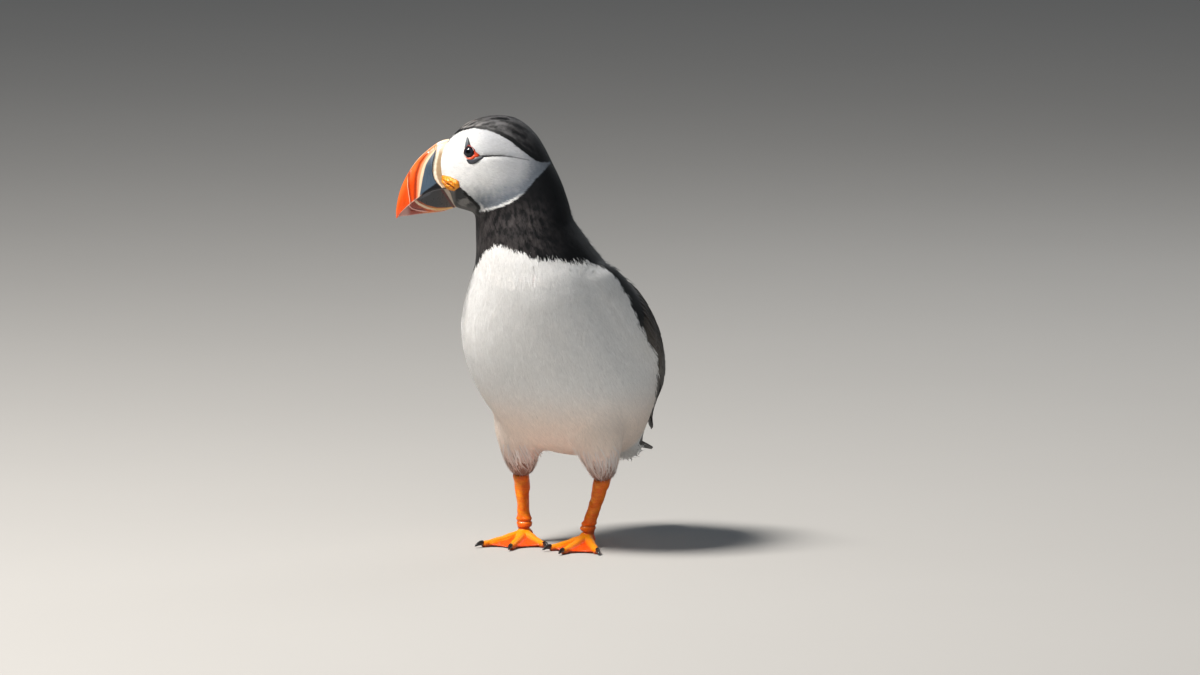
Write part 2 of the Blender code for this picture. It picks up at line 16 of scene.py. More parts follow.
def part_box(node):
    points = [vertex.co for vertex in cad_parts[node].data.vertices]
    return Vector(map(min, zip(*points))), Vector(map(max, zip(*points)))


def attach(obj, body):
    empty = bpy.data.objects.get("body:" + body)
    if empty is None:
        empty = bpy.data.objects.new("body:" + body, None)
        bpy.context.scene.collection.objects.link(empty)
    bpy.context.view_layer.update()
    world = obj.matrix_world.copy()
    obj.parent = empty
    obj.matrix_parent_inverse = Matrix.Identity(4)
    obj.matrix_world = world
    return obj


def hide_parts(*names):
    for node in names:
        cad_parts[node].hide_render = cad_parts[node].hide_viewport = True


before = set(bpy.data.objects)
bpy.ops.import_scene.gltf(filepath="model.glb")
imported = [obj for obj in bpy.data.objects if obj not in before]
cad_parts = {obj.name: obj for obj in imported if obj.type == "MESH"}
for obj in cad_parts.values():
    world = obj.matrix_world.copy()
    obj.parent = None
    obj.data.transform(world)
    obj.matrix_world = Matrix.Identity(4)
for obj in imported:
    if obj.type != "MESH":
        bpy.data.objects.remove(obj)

# the frame's meshes and places are brought up to date before they are read
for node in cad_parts.values():
    node.data.update()
bpy.context.view_layer.update()

MM = 0.001
UP = np.array([0.0, 0.0, 1.0])
SIDES = (("left", 1), ("right", -1))


# ---- the bird's own axes, from the frame ----
def unit(v):
    v = np.asarray(v, float)
    return v / np.maximum(np.linalg.norm(v, axis=-1, keepdims=True), 1e-12)


def node_middle(name):
    low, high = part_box(name)
    return np.array((low + high) / 2) / MM


EYES = {side: node_middle(f"eye_{side}") for side, _ in SIDES}
EYE_FORWARD = 27.55  # of the eyes' centres from the neck axis
HEAD_LEFT = unit((EYES["left"] - EYES["right"]) * (1, 1, 0))
HEAD_FORWARD = np.array([HEAD_LEFT[1], -HEAD_LEFT[0], 0.0])
NECK = ((EYES["left"] + EYES["right"]) / 2 - HEAD_FORWARD * EYE_FORWARD) * (1, 1, 0)
HEAD_TURN = atan2(-HEAD_FORWARD[0], -HEAD_FORWARD[1])


def in_head(forward, height, left=0.0):
    """A point of the head's plane, or beside it, in space."""
    forward, height, left = np.broadcast_arrays(forward, height, left)
    return NECK + forward[..., None] * HEAD_FORWARD + height[..., None] * UP + left[..., None] * HEAD_LEFT


def head_place(points):
    """Forward, height and left of points, from the neck axis in the head's plane."""
    away = points - NECK
    return away @ HEAD_FORWARD, points[..., 2], away @ HEAD_LEFT


# The body axis from the tail to the bill: trunk points, then head points, as (forward, height).
TRUNK_AXIS = [(-117, 45), (-94, 63), (-64, 85), (-32, 115), (-10, 149)]
HEAD_AXIS = [(0, 177), (6, 196), (17, 207), (31, 208), (44, 204)]
TURN_HEIGHTS = (140.0, 180.0)  # between these heights the neck turns


def curve(points, steps):
    """Points along a smooth curve through the given ones."""
    given = np.asarray(points, float)
    ends = np.vstack([given[:1], given, given[-1:]])
    made = []
    for a, b, c, d in zip(ends, ends[1:], ends[2:], ends[3:]):
        for k in range(steps):
            t = k / steps
            made.append(0.5 * (2 * b + (c - a) * t + (2 * a - 5 * b + 4 * c - d) * t**2
                               + (3 * b - a - 3 * c + d) * t**3))
    return np.array(made + [given[-1]])


AXIS = curve([NECK + np.array([0, -f, z]) for f, z in TRUNK_AXIS]
             + [NECK + HEAD_FORWARD * f + UP * z for f, z in HEAD_AXIS], 8)
AXIS_STEPS = AXIS[1:] - AXIS[:-1]
AXIS_LENGTHS = np.linalg.norm(AXIS_STEPS, axis=1)
AXIS_AT = np.concatenate([[0.0], np.cumsum(AXIS_LENGTHS)])
AXIS_LENGTH = AXIS_AT[-1]
AXIS_WAY = AXIS_STEPS / AXIS_LENGTHS[:, None]
AXIS_WAY_AT = unit(np.vstack([AXIS_WAY[:1], AXIS_WAY[1:] + AXIS_WAY[:-1], AXIS_WAY[-1:]]))


def axis_frame(at):
    """The axis point, its direction, the front and the left direction, at distances from the tail."""
    at = np.atleast_1d(np.asarray(at, float))
    centre = np.stack([np.interp(at, AXIS_AT, AXIS[:, k]) for k in range(3)], 1)
    way = unit(np.stack([np.interp(at, AXIS_AT, AXIS_WAY_AT[:, k]) for k in range(3)], 1))
    low, high = TURN_HEIGHTS
    turn = np.clip((centre[:, 2] - low) / (high - low), 0, 1) * HEAD_TURN
    left = np.stack([np.cos(turn), -np.sin(turn), 0 * turn], 1)
    front = unit(np.cross(left, way))
    return centre, way, front, np.cross(way, front)


def axis_place(points):
    """Distance from the tail along the axis, and angle round it: 0 is the belly, 90 the bird's left."""
    best = np.full(len(points), 1e18)
    at = np.zeros(len(points))
    for start, way, length, distance in zip(AXIS, AXIS_WAY, AXIS_LENGTHS, AXIS_AT):
        along = np.clip((points - start) @ way, 0, length)
        gap = ((points - start - along[:, None] * way) ** 2).sum(1)
        nearer = gap < best
        best[nearer], at[nearer] = gap[nearer], distance + along[nearer]
    centre, _, front, left = axis_frame(at)
    away = points - centre
    return at, np.degrees(np.arctan2((away * left).sum(1), (away * front).sum(1)))


def unwrap(points):
    """Places on an unwrap of the body, round its own axis."""
    at, angle = axis_place(points)
    return np.stack([0.02 + 0.96 * (angle + 180) / 360, 0.02 + 0.96 * at / AXIS_LENGTH], 1)


# ---- meshes ----
def new_object(name, data):
    obj = bpy.data.objects.new(name, data)
    bpy.context.scene.collection.objects.link(obj)
    return obj


def build(name, points, faces, finish, colours, patch=None, vane=None, shading=None):
    """An object from points in millimetres; faces is an array, or a list of arrays, of corner numbers."""
    groups = faces if isinstance(faces, list) else [faces]
    points = np.reshape(points, (-1, 3))
    corners = np.concatenate([g.ravel() for g in groups]).astype(np.int32)
    sizes = np.concatenate([np.full(len(g), g.shape[1]) for g in groups]).astype(np.int32)
    mesh = bpy.data.meshes.new(name)
    mesh.vertices.add(len(points))
    mesh.vertices.foreach_set("co", (points * MM).astype(np.float32).ravel())
    mesh.loops.add(len(corners))
    mesh.loops.foreach_set("vertex_index", corners)
    mesh.polygons.add(len(sizes))
    mesh.polygons.foreach_set("loop_start", np.concatenate([[0], np.cumsum(sizes)[:-1]]).astype(np.int32))
    mesh.update(calc_edges=True)
    mesh.polygons.foreach_set("use_smooth", np.ones(len(sizes), bool))
    paint = np.column_stack([np.reshape(colours, (-1, 3)), np.ones(len(points))])
    for label, kind, field, values in (("paint", "FLOAT_COLOR", "color", paint),
                                       ("vane", "FLOAT_VECTOR", "vector", vane),
                                       ("custom_normal", "FLOAT_VECTOR", "vector", shading)):
        if values is not None:
            data = mesh.attributes.new(label, kind, "POINT").data
            data.foreach_set(field, np.asarray(values, np.float32).ravel())
    if patch is not None:
        uv = np.reshape(patch, (-1, 2))[corners].astype(np.float32)
        mesh.uv_layers.new(name="OFBake").data.foreach_set("uv", uv.ravel())
    mesh.materials.append(finish)
    obj = new_object(name, mesh)
    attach(obj, "root")
    return obj


def mesh_arrays(mesh):
    """Points in millimetres and triangles of a mesh, with points at one place made one."""
    mesh.calc_loop_triangles()
    co = np.empty(len(mesh.vertices) * 3)
    mesh.vertices.foreach_get("co", co)
    tris = np.empty(len(mesh.loop_triangles) * 3, np.int32)
    mesh.loop_triangles.foreach_get("vertices", tris)
    _, first, same = np.unique(np.round(co.reshape(-1, 3) * 1e6).astype(np.int64), axis=0,
                               return_index=True, return_inverse=True)
    tris = same.ravel()[tris].reshape(-1, 3)
    distinct = (tris[:, 0] != tris[:, 1]) & (tris[:, 1] != tris[:, 2]) & (tris[:, 0] != tris[:, 2])
    return co.reshape(-1, 3)[first] / MM, tris[distinct]


def normals_of(points, tris):
    """Outward directions at the points of a mesh of triangles."""
    a, b, c = points[tris[:, 0]], points[tris[:, 1]], points[tris[:, 2]]
    face = np.cross(b - a, c - a)
    total = np.zeros_like(points)
    for k in range(3):
        for axis in range(3):
            total[:, axis] += np.bincount(tris[:, k], face[:, axis], len(points))
    return unit(total)


SMOOTHING = 0.5  # of the way to the neighbours' mean in each round


def smoothed(points, tris, rounds, hold=None):
    """Points moved towards the mean of their neighbours; hold is 1 where a point may not move."""
    pairs = np.sort(np.vstack([tris[:, [0, 1]], tris[:, [1, 2]], tris[:, [2, 0]]]), axis=1)
    edges = np.unique(pairs, axis=0)
    count = np.bincount(edges.ravel(), minlength=len(points))[:, None]
    free = SMOOTHING if hold is None else SMOOTHING * (1 - hold)[:, None]
    for _ in range(rounds):
        total = np.zeros_like(points)
        for axis in range(3):
            total[:, axis] += np.bincount(edges[:, 0], points[edges[:, 1], axis], len(points))
            total[:, axis] += np.bincount(edges[:, 1], points[edges[:, 0], axis], len(points))
        points = points + free * (total / np.maximum(count, 1) - points)
    return points


def joined(parts):
    """One mesh of several, each given as (points, triangles)."""
    starts = np.cumsum([0] + [len(points) for points, _ in parts])
    return (np.vstack([points for points, _ in parts]),
            np.vstack([tris + start for (_, tris), start in zip(parts, starts)]))


def remeshed(parts, voxel):
    """One even mesh round several closed ones."""
    points, tris = joined(parts)
    mesh = bpy.data.meshes.new("raw")
    mesh.from_pydata((points * MM).tolist(), [], tris.tolist())
    obj = new_object("raw", mesh)
    modifier = obj.modifiers.new("even", "REMESH")
    modifier.mode = "VOXEL"
    modifier.voxel_size = voxel * MM
    made = bpy.data.meshes.new_from_object(obj.evaluated_get(bpy.context.evaluated_depsgraph_get()))
    bpy.data.objects.remove(obj)
    result = mesh_arrays(made)
    bpy.data.meshes.remove(made)
    return result


def grown_node(name, distance):
    """A CAD solid's points, moved out by a distance, and its triangles."""
    points, tris = mesh_arrays(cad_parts[name].data)
    return points + normals_of(points, tris) * distance, tris


def tree_of(points, tris):
    return BVHTree.FromPolygons(points.tolist(), tris.tolist())


def cast(tree, starts, ways):
    """Where rays meet a surface, or else its nearest places, and the directions out of it there."""
    spots, out = np.empty_like(starts), np.empty_like(starts)
    for i, (start, way) in enumerate(zip(starts.tolist(), ways.tolist())):
        hit, normal, _, _ = tree.ray_cast(start, way)
        if hit is None:
            hit, normal, _, _ = tree.find_nearest(start)
        spots[i], out[i] = hit, normal
    return spots, out


# ---- colours and patterns ----
def colour(red, green, blue):
    """A linear colour from the familiar screen values, 0 to 255."""
    screen = np.array([red, green, blue]) / 255
    return np.where(screen <= 0.04045, screen / 12.92, ((screen + 0.055) / 1.055) ** 2.4)


def step_between(low, high, value):
    """0 below low and 1 above high, with a smooth rise; the other way round where low is the larger."""
    t = np.clip((value - low) / (high - low), 0, 1)
    return t * t * (3 - 2 * t)


def band(value, low, high, soft=0.16):
    """1 between low and high, with soft edges."""
    return step_between(low - soft, low + soft, value) * step_between(high + soft, high - soft, value)


def hump(value, middle, width):
    """1 at the middle, falling to 0 about a width away from it."""
    return np.exp(-(((value - middle) / width) ** 2))


def look_up(table, value, column=1):
    """A column of a table read at values of its first column."""
    return np.interp(value, table[:, 0], table[:, column])


def mixed(a, b, share):
    return a + (b - a) * np.asarray(share)[..., None]


def layered(made, *layers):
    """A colour with others laid over it in turn, each given with its share."""
    for shade, share in layers:
        made = mixed(made, shade, share)
    return made


def ripple(points, size, seed=0):
    """Smooth noise from -1 to 1 in waves about size millimetres long."""
    rng = np.random.default_rng(seed)
    total = np.zeros(len(points))
    for _ in range(6):
        way = unit(rng.normal(size=3)) * 2 * pi / (size * rng.uniform(0.6, 1.6))
        total += np.sin(points @ way + rng.uniform(0, 2 * pi) + 1.3 * np.sin(points[:, ::-1] @ way * 0.6))
    return total / 3.2


def line_distance(line, x, y):
    """Distance to an open line, and how far along it, from 0 to 1, the nearest place is."""
    best, share = np.inf, 0.0
    for i, ((ax, ay), (bx, by)) in enumerate(zip(line, line[1:])):
        dx, dy = bx - ax, by - ay
        along = np.clip(((x - ax) * dx + (y - ay) * dy) / (dx * dx + dy * dy), 0, 1)
        gap = np.hypot(x - ax - along * dx, y - ay - along * dy)
        share = np.where(gap < best, (i + along) / (len(line) - 1), share)
        best = np.minimum(best, gap)
    return best, share


def inside(outline, x, y):
    """Signed distance to a closed outline, positive inside."""
    line = np.vstack([outline, outline[:1]])
    within = np.zeros(x.shape, bool)
    for (ax, ay), (bx, by) in zip(line, line[1:]):
        crosses = (ay > y) != (by > y)
        within ^= crosses & (x < (bx - ax) * (y - ay) / ((by - ay) or 1e-9) + ax)
    gap, _ = line_distance(line, x, y)
    return np.where(within, gap, -gap)


# ---- where the markings run ----
# The collar's lower border: turn from the trunk's front towards its left, height.
COLLAR = np.array([(-180, 120), (-125, 142), (-100, 149), (-78, 152), (-62, 154.5), (-45, 158), (-30, 163),
                   (-15, 167), (-4, 168.3), (12, 167.2), (25, 165), (40, 162.3), (60, 161), (80, 159.5),
                   (100, 158), (112, 155.5), (125, 148), (180, 120)])
# Where the white ends on the flank: axis place, angle from the belly.
FLANK = np.array([(0, 46), (6, 54), (12, 66), (18, 76), (25, 87), (34, 94), (42, 99), (63, 103), (80, 106),
                  (97, 102), (111, 102), (118, 104), (127, 106), (138, 105), (146, 111), (155, 119),
                  (180, 119)])
# In the head's plane, as (forward, height).
FACE = [(46, 213), (42.6, 216.6), (36.6, 223.9), (31.9, 227), (25.5, 228.8), (19.1, 228.2), (12.7, 226.2),
        (6.2, 222.4), (-0.2, 217.1), (-6.6, 212.2), (-9.8, 211.1), (-15, 210.6), (-11.7, 207.4),
        (-6.6, 202.6), (-0.2, 195), (6.2, 190.5), (12.7, 187.6), (19.1, 185.8), (22.9, 184.6),
        (21.8, 187.6), (24.6, 190.9), (29, 195.1), (32.4, 198), (36, 199), (42, 197), (46, 200)]
FURROW = curve([(22.6, 214.4), (20.8, 214.8), (17.3, 215.1), (12.6, 215.3), (8.5, 215), (3.5, 214.2),
                (-3, 212.8)], 4)
CHIN_SPOT = (30.6, 190.2)
ROSETTE_PLACE = (38.0, 199.9)
UPPER_PLATE = [(30.4, 218.8), (30.2, 220.6), (29.8, 222.4), (29.2, 224.5), (28.6, 224.2), (28.0, 222.6),
               (27.4, 220.6), (27.2, 219.3), (28.7, 219.3)]
LOWER_PLATE = [(29.6, 212.9), (27.7, 212.9), (25.5, 213.5), (23.4, 214.6), (22.0, 215.0), (20.4, 214.4),
               (22.4, 212.9), (24.1, 211.6), (26.0, 210.8), (28.2, 210.8)]

# the cheek and rear greys also carry painted shade on the face
WHITE, CHEEK_GREY_AND_SHADE, REAR_GREY_AND_SHADE = colour(240, 239, 237), colour(190, 191, 194), colour(118, 125, 134)
BACK, BROWN, CROWN = colour(10, 10, 12), colour(56, 52, 52), colour(76, 75, 76)
LINE, CHIN, CHIN_LIGHT = colour(14, 14, 15), colour(62, 62, 63), colour(136, 133, 130)
FOREHEAD, FLANK_BROWN, BELLY_WARMTH_AND_BOUNCE = colour(160, 156, 152), colour(92, 86, 82), colour(243, 227, 214)
THIGH_PINK, THIGH_BROWN = colour(228, 208, 200), colour(146, 108, 94)


def white_field(points, t, angle):
    """Distance into the white of the breast and belly, negative in the dark plumage, and the turn."""
    turn = np.degrees(np.arctan2(points[:, 0] - NECK[0], NECK[1] - points[:, 1]))
    below = look_up(COLLAR, turn) - points[:, 2]
    return np.minimum(below, (look_up(FLANK, t) - np.abs(angle)) * 0.7), np.abs(turn)


def face_colour(f, z, in_face, streaks):
    """White above and in front, grey on the cheek and behind, with a dark furrow behind the eye. The greys are
    partly the plumage's own and partly painted shade: the lower cheek is painted darker, and a painted shadow
    lies just above the furrow.
    """
    over_furrow = z - look_up(FURROW[::-1], f)
    gap, share = line_distance(FURROW, f, z)
    upper = 0.9 * step_between(33, 15, f) * step_between(-0.5, 3, over_furrow)
    # painted shade: the lower cheek, which faces down, is painted darker with the rear grey
    low = 0.95 * step_between(209, 194, z + 0.25 * f) * step_between(31, 22, f)
    rear = np.clip(step_between(4, -11, f) + low + 0.12 * streaks, 0, 1)
    face = layered(WHITE, (CHEEK_GREY_AND_SHADE, np.maximum(step_between(22, 4, f), upper)), (REAR_GREY_AND_SHADE, rear))
    face = face * (1 + 0.05 * streaks * step_between(30, 20, f))[:, None]
    rim = step_between(1.8, 0.9, in_face + 0.4 * step_between(190, 196, z))
    # painted shadow just above the furrow
    shadow = 0.6 * step_between(3.2, 0.6, over_furrow) * (over_furrow > 0) * (f < 20.5) * (1 - share)
    furrow = step_between(0.85 - 0.45 * share, 0.45 - 0.3 * share, gap) * (1 - 0.6 * share**2)
    return layered(face, (WHITE, rim * step_between(197, 192, z) * step_between(24, 20, f)),
                   (REAR_GREY_AND_SHADE, shadow), (LINE, furrow))


def chin_colour(f, z, in_face, blotches, streaks):
    """Dark grey below the cheek and the bill, with a pale spot."""
    away = np.hypot((f - CHIN_SPOT[0]) / 1.4, z - CHIN_SPOT[1] + 0.25 * (f - CHIN_SPOT[0]))
    spot = step_between(3, 1.6, away + 0.9 * blotches) + 0.45 * step_between(190, 186, z + 0.8 * streaks)
    return layered(CHIN, (CHIN_LIGHT, np.clip(spot + step_between(34.5, 36.5, f) * 0.8, 0, 1)),
                   (LINE, step_between(-2.1, -1.5, in_face) * (f < 31)))


def plumage(points, rng):
    """The plumage's colour, the same for the skin and for what grows on it."""
    t, angle = axis_place(points)
    f, z, left = head_place(points)
    loose = rng.normal(size=len(points))
    mottle = ripple(points, 3.2, 1)
    blotches = 0.6 * mottle + 0.6 * ripple(points, 6.5, 21)
    round_axis = np.radians(angle)
    streaks = ripple(np.stack([t / 3, 17 * np.cos(round_axis), 17 * np.sin(round_axis)], 1), 1.9, 31)
    white, turn = white_field(points, t, angle)
    white = white + 0.8 * ripple(points, 7, 2) + 0.55 * loose
    # dark parts
    front = step_between(88, 30, turn) * step_between(140, 158, z) * step_between(200, 180, z)
    fringe = step_between(-10, -2, white) * step_between(126, 112, z) * (t < 150)
    crown = step_between(-12, 16, f) * step_between(196, 206, z)
    dark = layered(BACK,
                   (BROWN, front * np.clip(0.6 + 0.35 * blotches + 0.7 * streaks + 0.2 * loose, 0, 1.5)),
                   (FLANK_BROWN, np.clip(fringe * (0.85 + 0.5 * mottle), 0, 1)),
                   (mixed(CROWN, FOREHEAD, 0.8 * step_between(17, 35, f)),
                    crown * np.clip(0.85 + 0.3 * blotches + 1.0 * streaks + 0.2 * loose, 0, 1.9)))
    # light parts
    leg = leg_share(points)
    # the lower belly's warm tint is partly its own and partly painted warm light bounced up from the feet
    light = layered(WHITE, (BELLY_WARMTH_AND_BOUNCE, step_between(95, 62, z) * step_between(14, 32, t)),
                    (THIGH_PINK, 0.8 * leg * step_between(56, 46, z + 2 * mottle)),
                    (THIGH_BROWN, leg * step_between(47, 38, z + 3 * mottle + 1.5 * loose)))
    # head
    in_face = inside(FACE, f, z) + 0.12 * loose
    in_face = np.where(f < 4, np.minimum(in_face, np.abs(left) - 2.4), in_face)
    head = step_between(181, 184.5, z) * (t > 184)
    border = 0.8 + 1.2 * step_between(20, 4, f)
    chin = chin_colour(f, z, in_face, blotches, streaks)
    return layered(dark, (light, step_between(-0.4, 0.4, white)),
                   (chin, head * step_between(20, 24, f) * (z < 203)),
                   (LINE, head * step_between(-0.5, 0, in_face + border) * (z > 207) * (f < 40)),
                   (face_colour(f, z, in_face, streaks), head * step_between(-0.15, 0.15, in_face)))


# ---- how long, broad and deep the coat is ----
# axis place, feather length, breadth, depth of the coat
COAT = np.array([(0, 9, 1.3, 1.1), (60, 9, 1.2, 0.8), (120, 8.5, 1.1, 0.62), (158, 5.2, 0.95, 0.55),
                 (182, 3, 0.7, 0.42), (198, 2.1, 0.52, 0.26), (245, 1.8, 0.46, 0.2)])
WING_EDGES = np.array([  # axis place, angles of the folded wing's lower and upper edges
    (0, 136, 152), (8, 125, 152), (18, 119.5, 156), (29.5, 118.5, 159), (43, 112, 159), (60.5, 105.6, 159),
    (80, 97, 156), (100, 91, 152), (119, 88, 145), (136, 86, 131.6), (149, 95, 123), (157, 105, 117)])
LEG_POINTS = {  # knee, ankle and toe joint, in the design frame of the CAD source
    "left": ((24, 8, 80), (21.2, 25.5, 38.3), (11.8, 24, 8.4)),
    "right": ((-20, 8, 80), (-28, 24.5, 38.3), (-26.3, 25, 8.4)),
}
DESIGN = NECK - (0, -26, 0)  # the design frame's origin


def on_wing(t, angle):
    """How far inside the folded wing's edges, in degrees."""
    low, high = look_up(WING_EDGES, t), look_up(WING_EDGES, t, 2)
    return np.where(t < 158, np.minimum(np.abs(angle) - low, high - np.abs(angle)), -90)


DOWN_THE_LEG = np.array([0.0, 0.35, -1.0])


def leg_share(points):
    """1 on the feathered part of the legs, 0 on the body."""
    share = np.zeros(len(points))
    for knee, ankle, _ in LEG_POINTS.values():
        a, b = np.array(knee) + DESIGN, np.array(ankle) + DESIGN
        along = np.clip((points - a) @ (b - a) / ((b - a) @ (b - a)), 0, 1)
        gap = np.linalg.norm(points - a - along[:, None] * (b - a), axis=1)
        share = np.maximum(share, step_between(18, 14, gap) * step_between(64, 56, points[:, 2]))
    return share


def coat_depth(points, t, angle):
    """How far the coat's surface is above the skin: less on the back, and even on the wing."""
    depth = look_up(COAT, t, 3)
    back = step_between(95, 125, np.abs(angle)) * (t < 175)
    depth = depth + (np.minimum(depth, 1.0) - depth) * back
    wing = step_between(-2, 3, on_wing(t, angle))
    return depth + (0.9 - depth) * wing


def flow(points, normals):
    """The direction in which feathers lie: tailwards, back and down on the face, and down on the legs."""
    t, _ = axis_place(points)
    _, way, _, _ = axis_frame(t)
    f, z, _ = head_place(points)
    on_face = step_between(-3, 1, inside(FACE, f, z)) * step_between(184, 190, z)
    lie = layered(-way, (-HEAD_FORWARD - 0.28 * UP, on_face), (DOWN_THE_LEG, leg_share(points)))
    return unit(lie - normals * (lie * normals).sum(1)[:, None])


# ---- the eyes' places ----
EYE_TILT = (0.354, 0.19, 0.916)  # the eye looks this much forward, up and aside
EYEBALL_RADIUS, OPENING = 3.45, 2.8
EYE_FRAMES = {}
for side_name, side_sign in SIDES:
    looks = unit(HEAD_FORWARD * EYE_TILT[0] + UP * EYE_TILT[1] + HEAD_LEFT * EYE_TILT[2] * side_sign)
    fore = unit(HEAD_FORWARD - looks * (HEAD_FORWARD @ looks))
    EYE_FRAMES[side_name] = (looks, fore, np.cross(fore, looks) * side_sign)


def lobe(turn, middle, width):
    """1 at an angle in degrees, falling to 0 about a width away from it."""
    return hump((np.degrees(turn) - middle + 180) % 360 - 180, 0, width)


def ring_reach(turn):
    """How far the red ring reaches from the eye's middle; 0 is forward, 90 up, and 201 the rear corner."""
    return 3.3 + 3.3 * lobe(turn, 201, 14) + 2.0 * lobe(turn, 84, 13) + 1.1 * lobe(turn, 250, 50)


def ring_place(points):
    """Distance of points from the nearer eye's middle, and the ring's reach in that direction."""
    gap, reach = np.full(len(points), 99.0), np.full(len(points), 3.0)
    for name, (looks, fore, top) in EYE_FRAMES.items():
        away = points - EYES[name]
        x, y = away @ fore, away @ top
        own = np.where(away @ looks > -1, np.hypot(x, y), 99.0)
        nearer = own < gap
        reach = np.where(nearer, ring_reach(np.arctan2(y, x)), reach)
        gap = np.where(nearer, own, gap)
    return gap, reach


# ---- the skin ----
FLESH = ["trunk", "neck", "head"]
FLESH += [f"{part}_{side}" for part in ("wing", "thigh", "primaries") for side, _ in SIDES]
SKIN_GROWTH = 0.45  # closes the gaps between the solids before they are made one
SKIN_VOXEL = 1.0
TIP_BARE = 9.0  # the skin ends this far before the wings' tips
# How far the face's feathers reach over the root of the bill: height, reach.
FACE_REACH = np.array([(194, 0), (199, 2.5), (205, 1.5), (212, 0.8), (217, -0.4), (222, -1.2)])

WING_TIPS = {}
for side_name, _ in SIDES:
    tip_points, _ = mesh_arrays(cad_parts[f"primaries_{side_name}"].data)
    WING_TIPS[side_name] = tip_points[tip_points[:, 1].argmax()]


def make_skin():
    """One smooth surface round the feathered solids, lowered by the coat's depth."""
    balls = [grown_node(f"eye_{side}", 0.6) for side, _ in SIDES]  # they fill the eye sockets
    points, tris = remeshed([grown_node(name, SKIN_GROWTH) for name in FLESH] + balls, SKIN_VOXEL)
    points = smoothed(points, tris, 10)
    t, angle = axis_place(points)
    white, _ = white_field(points, t, angle)
    covered = step_between(-3, 2, white) * step_between(-25, -12, on_wing(t, angle))
    points = smoothed(points, tris, 90, hold=1 - covered)
    z = points[:, 2]
    groin = step_between(46, 54, z) * step_between(82, 70, z) * step_between(190, 170, t)
    points = smoothed(points, tris, 60, hold=1 - groin * (t < 170))
    f, z, _ = head_place(points)
    points = points + HEAD_FORWARD * (look_up(FACE_REACH, z) * step_between(29, 38, f))[:, None]
    t, angle = axis_place(points)
    f, z, left = head_place(points)
    gap, share = line_distance(FURROW, f, z)
    ring_gap, reach = ring_place(points)
    depth = coat_depth(points, t, angle) + SKIN_GROWTH
    depth = depth + 0.7 * step_between(1.6, 0.2, gap) * (np.abs(left) > 6) * (t > 190) * (1 - share)
    depth = depth + 1.1 * step_between(reach - 0.3, reach - 1.3, ring_gap)
    tip_gap = np.min([np.linalg.norm(points - tip, axis=1) for tip in WING_TIPS.values()], 0)
    depth = depth * (0.25 + 0.75 * step_between(6, 26, tip_gap))  # the wings' tips are thin
    points = points - normals_of(points, tris) * depth[:, None]
    # the flight feathers alone make the wings' thin tips
    points[:, 1] -= 1.1 * np.maximum(TIP_BARE - tip_gap, 0)
    return smoothed(points, tris, 2), tris


SKIN_POINTS, SKIN_TRIS = make_skin()
SKIN_NORMALS = normals_of(SKIN_POINTS, SKIN_TRIS)
SKIN = tree_of(SKIN_POINTS, SKIN_TRIS)
MIDDLES = SKIN_POINTS[SKIN_TRIS].mean(1)
SKIN_A, SKIN_B, SKIN_C = (SKIN_POINTS[SKIN_TRIS[:, k]] for k in range(3))
AREAS = np.linalg.norm(np.cross(SKIN_B - SKIN_A, SKIN_C - SKIN_A), axis=1) / 2
# where the middles of the skin's triangles are
M_AT, M_ANGLE = axis_place(MIDDLES)
M_F, M_Z, M_LEFT = head_place(MIDDLES)
M_WHITE, _ = white_field(MIDDLES, M_AT, M_ANGLE)
M_WING = on_wing(M_AT, M_ANGLE)
M_LEG = leg_share(MIDDLES)


# ---- feathers ----
RNG = np.random.default_rng(20)  # for all that grows on the skin


def scatter(mask, per_area):
    """Roots spread over the part of the skin where mask is true; per_area is feathers per square mm."""
    weight = AREAS * mask * per_area
    picked = RNG.choice(len(SKIN_TRIS), int(weight.sum()), p=weight / weight.sum())
    a, b = RNG.random(len(picked)), RNG.random(len(picked))
    over = a + b > 1
    a[over], b[over] = 1 - a[over], 1 - b[over]
    corners = SKIN_TRIS[picked]
    shares = np.stack([1 - a - b, a, b], 1)[:, :, None]
    return (SKIN_POINTS[corners] * shares).sum(1), unit((SKIN_NORMALS[corners] * shares).sum(1))


def nearest(points):
    """The skin's nearest points, and the directions out of it there."""
    spots, ways = np.empty_like(points), np.empty_like(points)
    for i, point in enumerate(points.tolist()):
        spots[i], ways[i], _, _ = SKIN.find_nearest(point)
    return spots, ways


def laid(root, lie, length, steps):
    """Paths from the roots over the skin, as points and outward directions."""
    spots, ways = [root], [nearest(root)[1]]
    heading = lie
    for _ in range(steps):
        spot, way = nearest(spots[-1] + heading * (length / steps)[:, None])
        heading = unit(0.5 * heading + 0.5 * unit(spot - spots[-1]))
        spots.append(spot)
        ways.append(way)
    return np.stack(spots, 1), np.stack(ways, 1)


def closed_vanes(points, out, quads, rows, across, thick):
    """Points and quads of vanes that have a lower side and a rim as well."""
    count, per = len(points), rows * across
    under = points - out[:, :, None] * thick
    points = np.concatenate([points.reshape(count, per, 3), under.reshape(count, per, 3)], 1)
    rim = list(range(across)) + [r * across + across - 1 for r in range(1, rows)]
    rim += [(rows - 1) * across + k for k in range(across - 2, -1, -1)]
    rim += [r * across for r in range(rows - 2, 0, -1)]
    a, b = np.array(rim), np.roll(rim, -1)
    return points, np.vstack([quads, quads[:, ::-1] + per, np.stack([a, b, b + per, a + per], 1)])


